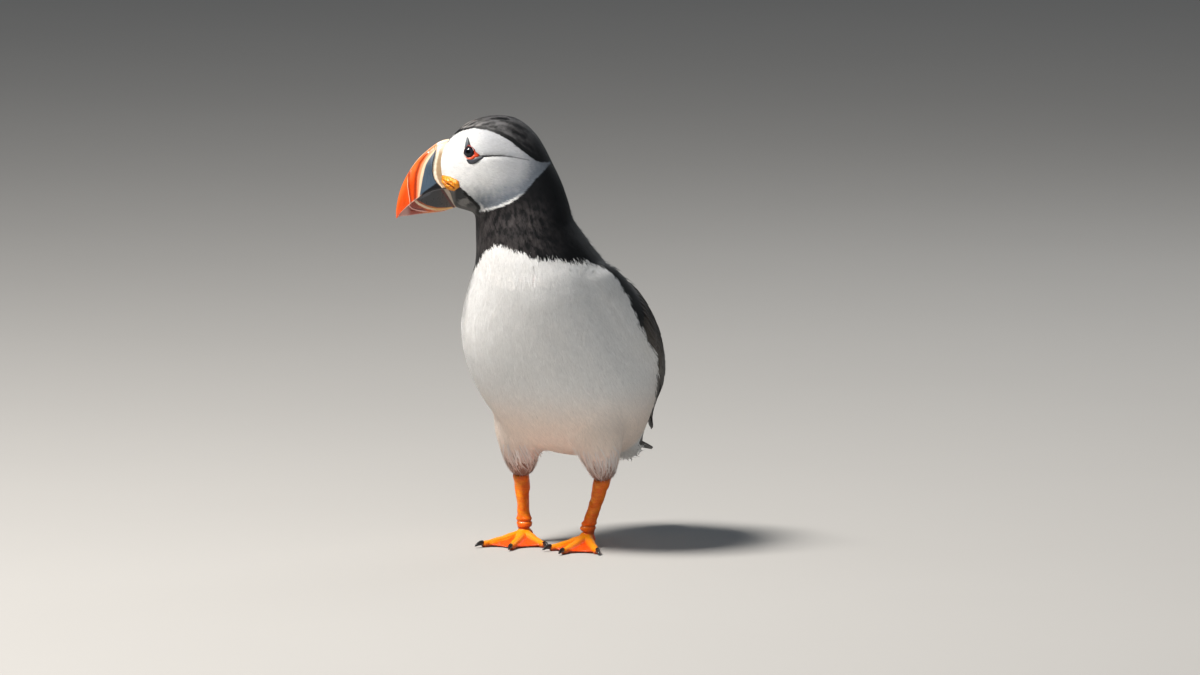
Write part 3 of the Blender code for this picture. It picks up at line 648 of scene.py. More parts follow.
def vanes(name, path, out, breadth, height, paint, camber, across, thick=0.0, tilt=0.0, soft=0.0):
    """Feathers as one mesh. path and out are (feathers, rows, 3); breadth and height are (feathers, rows).

    With soft near 1 they are shaded like the skin below them, as silky feathers that lie close are.
    """
    count, rows = path.shape[:2]
    along = np.gradient(path, axis=1)
    side = unit(np.cross(out, along))
    c = np.linspace(-1, 1, across)
    rise = height[..., None] - camber * breadth[..., None] * c**2 + tilt * breadth[..., None] * c
    points = (path[:, :, None] + side[:, :, None] * (breadth[..., None] * c / 2)[..., None]
              + out[:, :, None] * rise[..., None])
    i, j = np.meshgrid(np.arange(rows - 1), np.arange(across - 1), indexing="ij")
    first = (i * across + j).ravel()
    quads = np.stack([first, first + across, first + across + 1, first + 1], 1)
    s = np.broadcast_to(np.linspace(0, 1, rows)[:, None], (rows, across)).ravel()
    u = np.broadcast_to(c, (rows, across)).ravel()
    if thick:
        points, quads = closed_vanes(points, out, quads, rows, across, thick)
        s, u = np.tile(s, 2), np.tile(u, 2)
    per = len(s)
    faces = (quads[None] + (np.arange(count) * per)[:, None, None]).reshape(-1, 4)
    paint = np.broadcast_to(paint, (count, per, 3)) if paint.ndim == 3 else np.repeat(paint[:, None], per, 1)
    marks = np.stack([np.tile(s, count), np.tile(u, count), np.repeat(RNG.random(count), per)], 1)
    shading = None
    if soft:
        own_way = unit(np.cross(side, along))
        own_way = own_way * np.sign((own_way * out).sum(-1, keepdims=True))
        turned = unit(own_way[:, :, None] + side[:, :, None] * (2 * camber * c)[:, None])
        shading = unit(mixed(turned, out[:, :, None], np.full(turned.shape[:3], soft)))
    patch = unwrap(path[:, 0])[:, None] + 0.003 * np.stack([u * 0.5, s - 0.5], 1)[None]
    obj = build(name, points, faces, FEATHERS, paint, patch, marks, shading)
    return obj


PIECE_TRIANGLES = 180000  # the most in one piece of the coat


def vane_outline(s, tip_from=0.82, root=0.6, widening=1.5, end=1.001):
    """A vane's breadth from root to tip: rounded from tip_from on."""
    rounded = np.sqrt(np.clip(1 - (np.clip(s - tip_from, 0, 1) / (end - tip_from)) ** 2, 0, 1))
    return rounded * np.minimum(1, root + widening * s)


def tufts(name, mask, size, layers, breadth, steps=3, across=2, lift=1.0, camber=0.0, loose=0.1, uneven=0.06,
          point=0.2, soft=0.85, paler=0.0):
    """Small feathers grown all over part of the skin, as one or more meshes; as given here, silky ones."""
    length, broad = (look_up(COAT, M_AT, k) * size for k in (1, 2))
    root, out = scatter(mask, layers / (length * broad * breadth * 0.75))
    t, angle = axis_place(root)
    count = len(root)
    length = look_up(COAT, t) * size * RNG.uniform(0.8, 1.2, count)
    broad = look_up(COAT, t, 2) * size * breadth * RNG.uniform(0.75, 1.2, count)
    depth = coat_depth(root, t, angle) * lift * (1 + uneven * RNG.normal(size=count))
    lie = unit(flow(root, out) + RNG.normal(size=(count, 3)) * loose)
    lie = unit(lie - out * (lie * out).sum(1)[:, None])
    path, ways = laid(root, lie, length, steps)
    # those that would bend round an edge of the body are left out
    kept = (ways[:, 1:] * ways[:, :-1]).sum(-1).min(1) > 0.5
    path, ways, broad, depth, count = path[kept], ways[kept], broad[kept], depth[kept], int(kept.sum())
    s = np.linspace(0, 1, steps + 1)
    height = depth[:, None] * (-0.2 + 1.2 * (1 - (1 - s) ** 2))
    outline = vane_outline(s, point, 0.5, 1.6, 1.01)
    limit = PIECE_TRIANGLES // (2 * steps * (across - 1))
    shade = plumage(path[:, -1] * 0.7 + path[:, 0] * 0.3, RNG)
    shade = mixed(shade, WHITE, np.full(count, paler)) * np.exp(RNG.normal(size=count) * 0.045)[:, None]
    for k, start in enumerate(range(0, count, limit)):
        part = slice(start, start + limit)
        vanes(f"{name}_{k + 1}", path[part], ways[part], broad[part, None] * outline, height[part],
              shade[part], camber, across, soft=soft)


# ---- finishes ----
class Finish:
    """A material whose nodes are made one after another."""

    def __init__(self, name, **sockets):
        self.material = bpy.data.materials.new(name)
        self.material.use_nodes = True
        self.tree = self.material.node_tree
        self.shader = self.tree.nodes["Principled BSDF"]
        for socket, value in sockets.items():
            self.shader.inputs[socket.replace("_", " ")].default_value = value

    def node(self, kind, inputs=(), **settings):
        made = self.tree.nodes.new("ShaderNode" + kind)
        for setting, value in settings.items():
            setattr(made, setting, value)
        for socket, value in dict(inputs).items():
            if isinstance(value, bpy.types.NodeSocket):
                self.tree.links.new(value, made.inputs[socket])
            else:
                made.inputs[socket].default_value = value
        return made

    def attribute(self, name, output):
        return self.node("Attribute", attribute_name=name).outputs[output]

    def place(self):
        return self.node("TexCoord").outputs["Object"]

    def scaled(self, value, low, high, to_low, to_high):
        return self.node("MapRange", {0: value, 1: low, 2: high, 3: to_low, 4: to_high}).outputs[0]

    def spread(self, noise, low, high):
        """Noise, which is mostly from 0.3 to 0.7, brought to another range."""
        return self.scaled(noise, 0.3, 0.7, low, high)

    def math(self, operation, a, b):
        return self.node("Math", {0: a, 1: b}, operation=operation).outputs[0]

    def noise(self, place, scale, detail=3.0, distortion=0.0):
        return self.node("TexNoise", {"Vector": place, "Scale": scale, "Detail": detail,
                                      "Roughness": 0.55, "Distortion": distortion}).outputs[0]

    def give(self, socket, value):
        self.tree.links.new(value, self.shader.inputs[socket])

    def paint(self, colour, amount):
        """A colour, made lighter or darker by a factor, as the base colour."""
        self.give("Base Color", self.node("VectorMath", {0: colour, 3: amount}, operation="SCALE").outputs[0])

    def bump(self, height, strength, distance):
        made = self.node("Bump", {"Height": height, "Strength": strength, "Distance": distance * MM})
        self.give("Normal", made.outputs[0])


def feather_finish():
    """Barbs run along each vane, and every vane differs a little; dark feathers are glossier."""
    made = Finish("feathers", Specular_IOR_Level=0.28, Sheen_Weight=0.04, Sheen_Roughness=0.4,
                  Subsurface_Weight=0.25, Subsurface_Scale=0.0025, Subsurface_Radius=(1, 0.9, 0.8))
    made.shader.subsurface_method = "BURLEY"
    along, across, own = made.node("SeparateXYZ", {0: made.attribute("vane", "Vector")}).outputs
    stretched = [made.math("MULTIPLY", mark, times) for mark, times in ((across, 4.5), (along, 1.1), (own, 90.0))]
    place = made.node("CombineXYZ", dict(enumerate(stretched))).outputs[0]
    barbs = made.noise(place, 1.6, 2.0)
    paint = made.attribute("paint", "Color")
    made.paint(paint, made.spread(barbs, 0.9, 1.07))
    bright = made.node("RGBToBW", {0: paint}).outputs[0]
    made.give("Roughness", made.scaled(bright, 0.0, 0.35, 0.5, 0.85))
    made.bump(barbs, 0.35, 0.12)
    return made.material


def skin_finish():
    """Down, seen only where feathers part."""
    made = Finish("plumage under the coat", Specular_IOR_Level=0.25, Sheen_Weight=0.04)
    fine = made.noise(made.place(), 900.0, 4.0)
    made.paint(made.attribute("paint", "Color"), made.spread(fine, 0.84, 1.0))
    made.give("Roughness", made.spread(fine, 0.75, 0.95))
    made.bump(fine, 0.4, 0.2)
    return made.material


def horn_finish(name, roughness, coat, grain, bump, **sockets):
    """Horn: growth lines and cloudy colour under a slightly polished surface."""
    made = Finish(name, Coat_Weight=coat, Coat_Roughness=0.25, **sockets)
    place = made.place()
    cloud = made.noise(place, 160.0, 4.0)
    stretched = made.node("Mapping", {"Vector": place, "Scale": grain}).outputs[0]
    lines = made.noise(stretched, 1.0, 3.0, distortion=0.4)
    shade = made.math("MULTIPLY", made.spread(cloud, 0.93, 1.06), made.spread(lines, 0.95, 1.04))
    made.paint(made.attribute("paint", "Color"), shade)
    made.give("Roughness", made.spread(lines, roughness - 0.08, roughness + 0.1))
    made.bump(lines, bump, 0.12)
    return made.material


def scaly_finish(name, scale, roughness):
    """Bare skin in small scales, as on the shanks, toes and webs."""
    made = Finish(name, Coat_Weight=0.22, Coat_Roughness=0.12, Specular_IOR_Level=0.3, Subsurface_Weight=0.08,
                  Subsurface_Scale=0.002)
    place = made.place()
    edges = made.node("TexVoronoi", {"Vector": place, "Scale": scale}, feature="DISTANCE_TO_EDGE").outputs[0]
    cells = made.scaled(edges, 0.0, 0.16, 0.0, 1.0)
    cloud = made.noise(place, 260.0, 4.0)
    shade = made.math("MULTIPLY", made.scaled(cells, 0.0, 1.0, 0.8, 1.0), made.spread(cloud, 0.92, 1.08))
    made.paint(made.attribute("paint", "Color"), shade)
    made.give("Roughness", made.spread(cloud, roughness - 0.08, roughness + 0.1))
    made.bump(made.math("ADD", cells, made.math("MULTIPLY", cloud, 0.5)), 0.5, 0.12)
    return made.material


def eye_finish():
    made = Finish("eyeball", Coat_Weight=0.15, Coat_Roughness=0.05, Specular_IOR_Level=0.3)
    fibres = made.noise(made.place(), 2600.0, 3.0)
    made.paint(made.attribute("paint", "Color"), made.spread(fibres, 0.75, 1.2))
    made.give("Roughness", made.spread(fibres, 0.12, 0.2))
    return made.material


FEATHERS = feather_finish()
UNDER = skin_finish()
HORN = horn_finish("bill horn", 0.3, 0.35, (500.0, 500.0, 120.0), 0.35)
PLATE = horn_finish("eye plate horn", 0.5, 0.05, (1500.0, 1500.0, 900.0), 0.5)
LID = horn_finish("orbital ring", 0.42, 0.2, (2200.0, 2200.0, 2200.0), 0.6)
ROSETTE = horn_finish("rosette skin", 0.5, 0.1, (1500.0, 1500.0, 700.0), 0.7, Subsurface_Weight=0.15,
                      Subsurface_Scale=0.002)
SCALES = scaly_finish("scaly leg skin", 1300.0, 0.4)
CLAW = horn_finish("claw horn", 0.3, 0.2, (900.0, 900.0, 500.0), 0.3)
EYEBALL = eye_finish()


# ---- the body's pieces ----
def add_skin():
    obj = build("skin", SKIN_POINTS, SKIN_TRIS, UNDER, plumage(SKIN_POINTS, np.random.default_rng(3)) * 0.9)
    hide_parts(*FLESH)


def clear_of_face():
    """Parts of the skin clear of the eyes, plates, rosettes and bill."""
    gap, reach = ring_place(MIDDLES)
    rosette = np.hypot((M_F - ROSETTE_PLACE[0]) / 5, (M_Z - ROSETTE_PLACE[1]) / 3.2) > 1
    plates = (inside(UPPER_PLATE, M_F, M_Z) < -0.1) & (inside(LOWER_PLATE, M_F, M_Z) < -0.1)
    bill = (M_F > 45.5) & (M_Z < 219.5)
    return (((gap > reach - 0.1) & rosette & plates) | (np.abs(M_LEFT) < 5)) & ~bill


def add_coat():
    head = (M_AT > 190) & (M_Z > 182)
    neck = ~head & (M_AT > 162)
    leg = M_LEG > 0.5
    trunk = ~head & ~neck & ~leg
    front = trunk & (M_WHITE > -7)
    wing = (M_WING > 0) & ~head & ~neck & ~front
    flank = trunk & (M_WHITE > -11) & (M_WHITE < 3) & (M_AT > 40) & (M_AT < 112)
    ruff = (M_AT > 128) & (M_AT < 185) & (np.abs(M_ANGLE) > 85) & (M_WHITE < -2)
    vent = ~wing & (M_AT > 3) & (M_AT < 24) & (M_WHITE > 3) & (np.abs(M_ANGLE) < 66)
    plumes = (M_LEG > 0.15) & (M_Z > 53) & (M_Z < 72) & (MIDDLES[:, 1] < DESIGN[1] + 16)
    stiff = dict(across=3, point=0.45)
    for name, where, size, layers, breadth, others in (
            ("face", head & clear_of_face(), 1.0, 6.0, 0.9, dict(steps=2)),
            ("neck", neck, 1.0, 7.0, 0.9, {}),
            ("white", front, 1.0, 12.0, 0.66, dict(uneven=0.04)),
            ("flank", flank, 1.1, 2.5, 0.6, dict(lift=1.8, loose=0.18, uneven=0.14)),
            ("back", trunk & ~front & ~wing, 0.9, 6.0, 2.6, dict(stiff, camber=0.07, soft=0.7)),
            ("wing", wing & (M_AT > 66), 0.95, 7.0, 2.6, dict(stiff, camber=0.06, soft=0.75)),
            ("ruff", ruff, 1.0, 0.35, 0.8, dict(lift=2.4, loose=0.2, uneven=0.3)),
            ("leg_white", leg, 0.95, 6.0, 0.55, dict(lift=1.1)),
            ("thigh_white", leg & (M_Z < 49), 1.15, 4.0, 0.35, dict(lift=1.7, loose=0.14, uneven=0.3)),
            ("plumes_white", plumes, 2.3, 1.6, 0.22, dict(lift=2.2, loose=0.13, uneven=0.25, paler=0.6)),
            ("vent_white", vent, 1.3, 4.0, 0.4, dict(lift=3.0, loose=0.2, uneven=0.35, paler=0.9))):
        tufts("coat_" + name, where, size, layers, breadth, **others)


# ---- flight feathers and tail ----
TIP_FROM = 20.0  # behind this axis place the wing's longest feathers stand clear of the body


def on_wing_or_tip(at, angle, name):
    """The skin's points, or behind the body those on the way to the wing's tip."""
    points, out = on_body(np.maximum(at, TIP_FROM), angle)
    beyond = np.clip((TIP_FROM - at) / TIP_FROM, 0, 1)[:, None]
    return points + (WING_TIPS[name] - points) * beyond, out


def on_body(at, angle):
    """The skin's point and outward direction at an axis place and an angle in degrees."""
    centre, _, front, left = axis_frame(at)
    turn = np.radians(angle)
    way = front * np.cos(turn)[:, None] + left * np.sin(turn)[:, None]
    return cast(SKIN, centre + way * 80, -way)


FLIGHT_STEPS = 9
TIP_DROOP = 3.5  # how far the lowest flight feathers' ends stand off the body
VANE_ACROSS = 9
# Long feathers in each wing, from its lower to its upper edge: share, root and tip, both by axis place.
FLIGHT = np.array([(0, 72, 1), (0.2, 76, 4), (0.45, 81, 17), (0.5, 82, 26), (0.8, 88, 42), (1, 92, 56)])
COVERTS = np.array([(0, 100, 62), (0.5, 108, 72), (1, 112, 82)])
SMALL_COVERTS = np.array([(0, 112, 84), (0.5, 120, 92), (1, 122, 98)])
WING_ROWS = (  # name, table, feathers, breadth, height over the skin
    ("flight_feathers", FLIGHT, 20, 7.6, 0.9), ("coverts", COVERTS, 15, 7.2, 1.15),
    ("small_coverts", SMALL_COVERTS, 14, 6.4, 1.3))
QUILL, EDGE_BROWN, VANE = colour(26, 23, 22), colour(64, 56, 51), colour(15, 14, 15)
FADED_BROWN = colour(78, 70, 63)


def feather_paint(count, brown=0.0):
    """Dark vanes, above and below, with a paler worn edge and tip; brown is how faded each feather is."""
    s, c = np.meshgrid(np.linspace(0, 1, FLIGHT_STEPS), np.linspace(-1, 1, VANE_ACROSS), indexing="ij")
    edge = np.clip(step_between(0.8, 1.0, np.abs(c)) * 0.7 + step_between(0.9, 1.0, s) * 0.5, 0, 1).ravel()
    shade = mixed(VANE, EDGE_BROWN, edge)[None] * np.exp(RNG.normal(size=(count, 1, 1)) * 0.08)
    shade[:, (np.abs(c) < 0.05).ravel()] = QUILL
    shade = mixed(shade, FADED_BROWN, np.broadcast_to(brown, (count,))[:, None] * np.ones(c.size))
    return np.concatenate([shade, shade], 1)


def add_wing_rows():
    """Each feather runs along the folded wing and covers the upper edge of the one below it."""
    s = np.linspace(0, 1, FLIGHT_STEPS)
    for name, side in SIDES:
        for row, table, count, broad, rise in WING_ROWS:
            paths, breadths, droop = [], [], []
            shares = np.linspace(0, 1, count)
            for share in shares:
                root, tip = look_up(table, share), look_up(table, share, 2)
                at = root + (tip - root) * s
                low = np.maximum(look_up(WING_EDGES, at), look_up(FLANK, at) + 2)
                angle = low + (look_up(WING_EDGES, at, 2) - low) * (0.05 + 0.9 * share)
                paths.append(on_wing_or_tip(at, side * angle, name))
                breadths.append(broad * vane_outline(s) * np.clip(0.7 + at / 110, 0, 1))
                droop.append(TIP_DROOP * step_between(34, 12, at) * step_between(0.45, 0.0, share))
            path, out = (np.stack([p[k] for p in paths]) for k in (0, 1))
            height = (rise + 0.6) * step_between(-0.05, 0.35, s) - 0.6 + 0.2 * s
            height = height + 0.02 * np.arange(count)[:, None]
            faded = 0.0 if table is FLIGHT else 0.75 * step_between(0.5, 0.0, shares)
            vanes(f"{row}_{name}", path, out, np.array(breadths), height + np.array(droop),
                  feather_paint(count, faded), 0.04, VANE_ACROSS, thick=0.2, tilt=-0.07 * side)


TAIL_ROOT, TAIL_LENGTH, TAIL_SLOPE = (98.0, 57.5), 36.0, radians(-21)
TAIL_FEATHERS = 14
TAIL_SPREAD, TAIL_WIDTH = radians(13), 8.6


def add_tail():
    """A short rounded fan: the middle pair on top, each feather under its inner neighbour."""
    root = DESIGN + (0, -26 + TAIL_ROOT[0], TAIL_ROOT[1])
    back = np.array([0, cos(TAIL_SLOPE), sin(TAIL_SLOPE)])
    up = np.array([0, -sin(TAIL_SLOPE), cos(TAIL_SLOPE)])
    s = np.linspace(0, 1, FLIGHT_STEPS)
    paths = []
    for k in range(TAIL_FEATHERS):
        share = 2 * k / (TAIL_FEATHERS - 1) - 1
        length = TAIL_LENGTH * (1 - 0.2 * abs(share) ** 1.6)
        way = back * cos(share * TAIL_SPREAD) + np.array([1, 0, 0]) * sin(share * TAIL_SPREAD)
        start = root + np.array([share * 5.5, 0, 0])
        drop = -up * (2.3 * share**2 + 0.9)
        paths.append(start + way * (s * length)[:, None] + drop + up * (0.9 * np.sin(pi * s))[:, None])
    path = np.array(paths)
    breadth = np.tile(TAIL_WIDTH * vane_outline(s, 0.8), (TAIL_FEATHERS, 1))
    obj = vanes("tail_feathers", path, np.broadcast_to(up, path.shape), breadth, np.zeros(path.shape[:2]),
                feather_paint(TAIL_FEATHERS), 0.05, VANE_ACROSS, thick=0.3)
    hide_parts("tail")


# ---- the bill ----
BILL = np.array([  # upper ridge, upper and lower edge of the mouth, lower ridge, half width at the mouth
    (36.0, 222.6, 36.0, 197.1, 33.0, 196.5, 30.0, 187.2, 6.8),
    (42.6, 221.4, 41.8, 197.0, 39.0, 196.6, 36.4, 185.6, 7.5),
    (49.1, 217.2, 47.4, 196.0, 45.2, 195.9, 42.4, 183.8, 7.3),
    (55.5, 211.2, 52.6, 193.3, 51.0, 193.6, 48.0, 183.1, 6.5),
    (60.7, 203.6, 57.0, 190.0, 55.6, 190.6, 53.0, 182.6, 5.5),
    (64.6, 195.0, 61.0, 186.6, 59.6, 187.3, 57.8, 182.0, 4.2),
    (66.6, 185.8, 64.2, 183.4, 62.8, 184.1, 61.6, 181.4, 2.7),
    (66.7, 180.2, 65.9, 180.6, 64.5, 181.9, 64.0, 181.3, 1.0),
])
BILL_TAPER = 0.5
BILL_ACROSS = 68
BILL_STEPS = 34  # from one row of the table to the next
BILL_FROM = 16  # the first of them are under the feathers
BILL_ROWS = curve(BILL, BILL_STEPS)[BILL_FROM:]
MOUTH_EDGE = np.array([(42, 197.1), (47.4, 196), (52.6, 193.3), (57, 190)])
DARK_WEDGE = np.array([(42, 4.5), (45.5, 3.2), (47.3, 2.2), (49.5, 1.8), (51.8, 1.4), (54.1, 0.3)])  # over it
# Across the upper bill: height, then how far forward each border runs.
CERE_REAR = np.array([(190, 40.5), (201.5, 42.5), (206, 43.4), (211.4, 42.8), (216.5, 41.4), (223, 39)])
CERE_FRONT = np.array([(190, 40), (197.7, 42.7), (200, 45), (202.5, 46.6), (206, 47.3), (210, 47),
                       (215, 45.9), (222, 44.6)])
BLUE_FRONT = np.array([(190, 54.8), (193.6, 54.1), (197.7, 53.4), (202.3, 52.6), (206.8, 51.6), (209.1, 50.9),
                       (211.4, 49.6), (213.6, 48.2), (215.9, 46.4), (217.2, 45.3), (222, 43.5)])
CREAM_FRONT = np.array([(190, 55.8), (197.7, 55.7), (202.3, 55.5), (204.5, 55), (206.8, 54.3), (209.1, 53.4),
                        (211.4, 52), (213.2, 50.6), (215, 48.8), (216.8, 46.8), (222, 44)])
FRONT_GROOVE = np.array([(184, 57.8), (188.6, 58.8), (191, 59.1), (193.2, 59.5), (197.7, 60.1), (202, 60),
                         (206, 59.2)])
REAR_GROOVE = np.array([(184, 56.4), (191.6, 56.9), (197.8, 56.8), (204.6, 56.2), (210, 54.2), (214.8, 50.6)])
# table, painted half width, strength of the paint, depth
GROOVES = ((REAR_GROOVE, 0.6, 0.5, 0.5), (FRONT_GROOVE, 0.42, 0.8, 0.42))
# On the lower bill, as (forward, height).
LOWER_GREY = [(55.7, 190.8), (50, 194.6), (43.2, 197.2), (36, 199), (34, 190), (37.1, 186.3), (45.2, 186.3),
              (50.6, 187.7)]
LOWER_BASE = [(43.2, 198), (42.5, 196.1), (35.7, 185.5)]
LOWER_CERE = [(42.2, 197), (35.2, 185.4), (28, 185), (30, 200)]
LOWER_LINE = curve([(57.2, 191), (55.2, 188.9), (53.3, 187.7), (49.2, 185.9), (43.8, 185.3),
                    (36.1, 186.2)], 4)
LOWER_ARC = curve([(60, 187.6), (57.8, 185.4), (53.3, 184.3), (49, 184)], 4)
ORANGE, RIDGE_ORANGE, DEEP_RED = colour(222, 74, 4), colour(222, 104, 40), colour(140, 30, 6)
GROOVE_LIGHT, PEACH, CREAM = colour(252, 196, 160), colour(232, 146, 104), colour(232, 202, 168)
BLUE, RIDGE_BLUE, BLUE_DARK = colour(70, 86, 101), colour(124, 128, 138), colour(14, 14, 17)
CERE_TAN_AND_SHADE, CERE_PALE_AND_HIGHLIGHT, LIP_PINK = colour(170, 142, 110), colour(242, 226, 202), colour(240, 190, 170)
LOWER_ORANGE, LOWER_RED, MAUVE = colour(196, 104, 30), colour(150, 46, 14), colour(196, 146, 136)
ARC_ORANGE, ARC_RED, ARC_PINK = colour(214, 92, 18), colour(126, 32, 8), colour(236, 172, 158)
GREY_HORN, GREY_BROWN, GREY_SHEEN = colour(38, 38, 43), colour(62, 47, 41), colour(88, 92, 102)
YELLOW, LIP_HIGHLIGHT = colour(222, 166, 92), colour(110, 108, 112)
BASE_RED, BASE_TAN = colour(88, 26, 16), colour(196, 178, 160)


def upper_paint(f, z, t):
    """Colours of the upper bill; t runs from 0 at the mouth to 1 at the ridge."""
    cere, front, blue, cream = (look_up(edge, z) for edge in (CERE_REAR, CERE_FRONT, BLUE_FRONT, CREAM_FRONT))
    made = mixed(ORANGE, RIDGE_ORANGE, step_between(0.55, 0.95, t) * 0.8)
    for groove, width, strength, _ in GROOVES:
        dark = strength * band(f - look_up(groove, z), -width, width, 0.4)
        made = mixed(made, DEEP_RED, dark * step_between(2, -2, z - groove[-1, 0]))
    beside = f - look_up(FRONT_GROOVE, z)
    width = cream - blue
    grey = mixed(BLUE, RIDGE_BLUE, step_between(206, 217, z) * 0.7)
    wedge = step_between(0.3, -0.3, z - look_up(MOUTH_EDGE, f) - look_up(DARK_WEDGE, f))
    # the cere is pale and tan of its own; its pale front edge and top are also a painted highlight, its tan rear
    # also painted shade
    pale = step_between(0.45, 0.7, (f - cere) / np.maximum(front - cere, 0.5))
    rim = mixed(CERE_TAN_AND_SHADE, CERE_PALE_AND_HIGHLIGHT, np.maximum(pale, 0.8 * step_between(214, 219, z)))
    return layered(made, (GROOVE_LIGHT, 0.85 * band(beside, 0.2, 0.55, 0.12) * band(z, 187, 202, 1.5)),
                   (PEACH, step_between(cream + 0.35, cream - 0.45, f)),
                   (CREAM, step_between(blue + 0.62 * width, blue + 0.4 * width, f)),
                   (mixed(grey, BLUE_DARK, wedge), step_between(blue + 0.25, blue - 0.25, f)),
                   (BLUE_DARK, step_between(217, 212, z) * step_between(front + 0.6, front + 0.4, f)),
                   (rim, step_between(front + 0.2, front - 0.15, f)),
                   (CREAM, 0.6 * step_between(0.975, 0.995, t) * step_between(62, 57, f)),
                   (LIP_PINK, step_between(0.05, 0.015, t) * step_between(52, 57, f)))


def lower_paint(f, z, t):
    """Colours of the lower bill; t runs from 0 at the mouth to 1 at the lower ridge."""
    gap, share = line_distance(LOWER_ARC, f, z)
    over_arc = step_between(0.2, -0.2, gap - 0.2 - 2.2 * share) * (z > look_up(LOWER_ARC[::-1], f))
    under_mouth = look_up(MOUTH_EDGE, f) - z
    # painted highlight: a lighter band on the grey just under the mouth
    grey = layered(GREY_HORN, (GREY_BROWN, step_between(46, 39, f)),
                   (GREY_SHEEN, 0.8 * band(under_mouth, 0.9, 1.7, 0.4) * band(f, 48.5, 53.5, 1.0)))
    line_gap, _ = line_distance(LOWER_LINE, f, z)
    base_gap, _ = line_distance(LOWER_BASE, f, z)
    made = mixed(LOWER_ORANGE, LOWER_RED, step_between(49, 56, f))
    return layered(made, (MAUVE, 0.9 * step_between(58.2, 61.5, f)),
                   (mixed(ARC_ORANGE, ARC_RED, step_between(49.5, 53, f)), over_arc),
                   (ARC_PINK, step_between(0.42, 0.2, gap) * step_between(1.0, 0.7, share)),
                   (grey, step_between(-0.2, 0.2, inside(LOWER_GREY, f, z))),
                   (mixed(YELLOW, CREAM, step_between(44, 51, f)), step_between(0.8, 0.4, line_gap)),
                   (BASE_RED, step_between(0.7, 0.35, base_gap)),
                   (BASE_TAN, step_between(0.0, 0.5, inside(LOWER_CERE, f, z))),
                   # painted highlight: grey along the rear of the lower bill's edge at the mouth
                   (LIP_HIGHLIGHT, step_between(0.06, 0.02, t) * step_between(57, 54, f)))


def upper_relief(f, z, points):
    """The grooves cut into the upper bill, and the swollen cere behind a fine furrow."""
    relief = np.zeros(f.shape)
    for groove, _, _, depth in GROOVES:
        relief -= depth * hump(f - look_up(groove, z), 0, 0.55) * (z < groove[-1, 0] + 3)
    front = look_up(CERE_FRONT, z)
    swell = band(f, look_up(CERE_REAR, z) - 2, front, 0.35)
    relief += 0.6 * swell + 0.07 * swell * ripple(points, 1.1, 9).reshape(f.shape)
    return relief - 0.25 * band(f, front + 0.1, front + 0.8, 0.3)


def lower_relief(f, z, _):
    """The raised line and the groove beside the arc."""
    gap, _ = line_distance(LOWER_LINE, f, z)
    arc, _ = line_distance(LOWER_ARC, f, z)
    return 0.2 * step_between(1.0, 0.4, gap) - 0.3 * hump(arc, 0.7, 0.5) * (z > 184.5)


def bill_half(edge, ridge, narrower):
    """Rings of one mandible: points, how far to the ridge, forward and height in the head's plane."""
    k = np.arange(-BILL_ACROSS, BILL_ACROSS + 1)
    t = np.sin(0.5 * pi * (1 - np.abs(k) / BILL_ACROSS))
    half = (BILL_ROWS[:, 8:] - narrower) * (1 - BILL_TAPER * t) * np.sqrt(np.clip(1 - t**5, 0, 1))
    f = edge[:, :1] + (ridge[:, :1] - edge[:, :1]) * t
    z = edge[:, 1:] + (ridge[:, 1:] - edge[:, 1:]) * t
    return in_head(f, z, half * np.sign(k)), np.broadcast_to(t, f.shape), f, z


def ring_mesh(rows, count):
    """Faces of a closed tube of rings, with its ends filled by fans of triangles."""
    i, j = np.meshgrid(np.arange(rows - 1), np.arange(count), indexing="ij")
    nxt = (j + 1) % count
    quads = np.stack([i * count + j, i * count + nxt, (i + 1) * count + nxt, (i + 1) * count + j], -1)
    k = np.arange(1, count - 1)
    caps = np.vstack([np.stack([0 * k, k + 1, k], 1), np.stack([0 * k, k, k + 1], 1) + (rows - 1) * count])
    return [quads.reshape(-1, 4), caps]


def triangles(quads, caps):
    return np.vstack([quads[:, [0, 1, 2]], quads[:, [0, 2, 3]], caps])


def add_bill():
    """The two mandibles. Gives the skin and bill together as a tree, for what lies on both."""
    solids = [(SKIN_POINTS, SKIN_TRIS)]
    upper_ridge, upper_edge, lower_edge, lower_ridge = (BILL_ROWS[:, k:k + 2] for k in (0, 2, 4, 6))
    lower_edge = lower_edge * 0.25 + upper_edge * 0.75
    for node, edge, ridge, narrower, relief_of, paint in (
            ("bill_upper", upper_edge, upper_ridge, 0.0, upper_relief, upper_paint),
            ("bill_lower", lower_edge, lower_ridge, 0.35, lower_relief, lower_paint)):
        points, t, f, z = bill_half(edge, ridge, narrower)
        flat = points.reshape(-1, 3)
        faces = ring_mesh(*f.shape)
        tris = triangles(*faces)
        relief = relief_of(f, z, flat) * step_between(0.0, 0.08, t) * step_between(1.0, 0.93, t)
        made = flat + normals_of(flat, tris) * relief.reshape(-1, 1)
        solids.append((made, tris))
        obj = build(node + "_horn", made, faces, HORN, paint(f, z, t))
        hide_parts(node)
    return tree_of(*joined(solids))


# ---- eyes, plates and rosettes ----
RING_RED, RING_ORANGE, RING_DARK = colour(186, 30, 8), colour(216, 78, 28), colour(72, 16, 10)
PLATE_BLUE, PLATE_DARK = colour(88, 94, 101), colour(54, 57, 64)
PUPIL, IRIS = colour(6, 6, 8), colour(34, 35, 45)


def side_hits(f, z, side):
    """Points of the skin and bill seen from the side over places in the head's plane."""
    starts = in_head(f, z, 60.0 * side)
    return cast(FACE_TREE, starts, np.broadcast_to(-HEAD_LEFT * side, starts.shape))


def evened(f, z, spots, ways, side):
    """Hits on the head laid on one smooth curved sheet through them."""
    x, y = f - f.mean(), z - z.mean()
    terms = np.stack([x**0, x, y, x * x, x * y, y * y], 1)
    out = (spots - NECK) @ (HEAD_LEFT * side)
    fit = terms @ np.linalg.lstsq(terms, out, rcond=None)[0]
    return in_head(f, z, fit * side), np.broadcast_to(unit(ways.mean(0)), ways.shape)


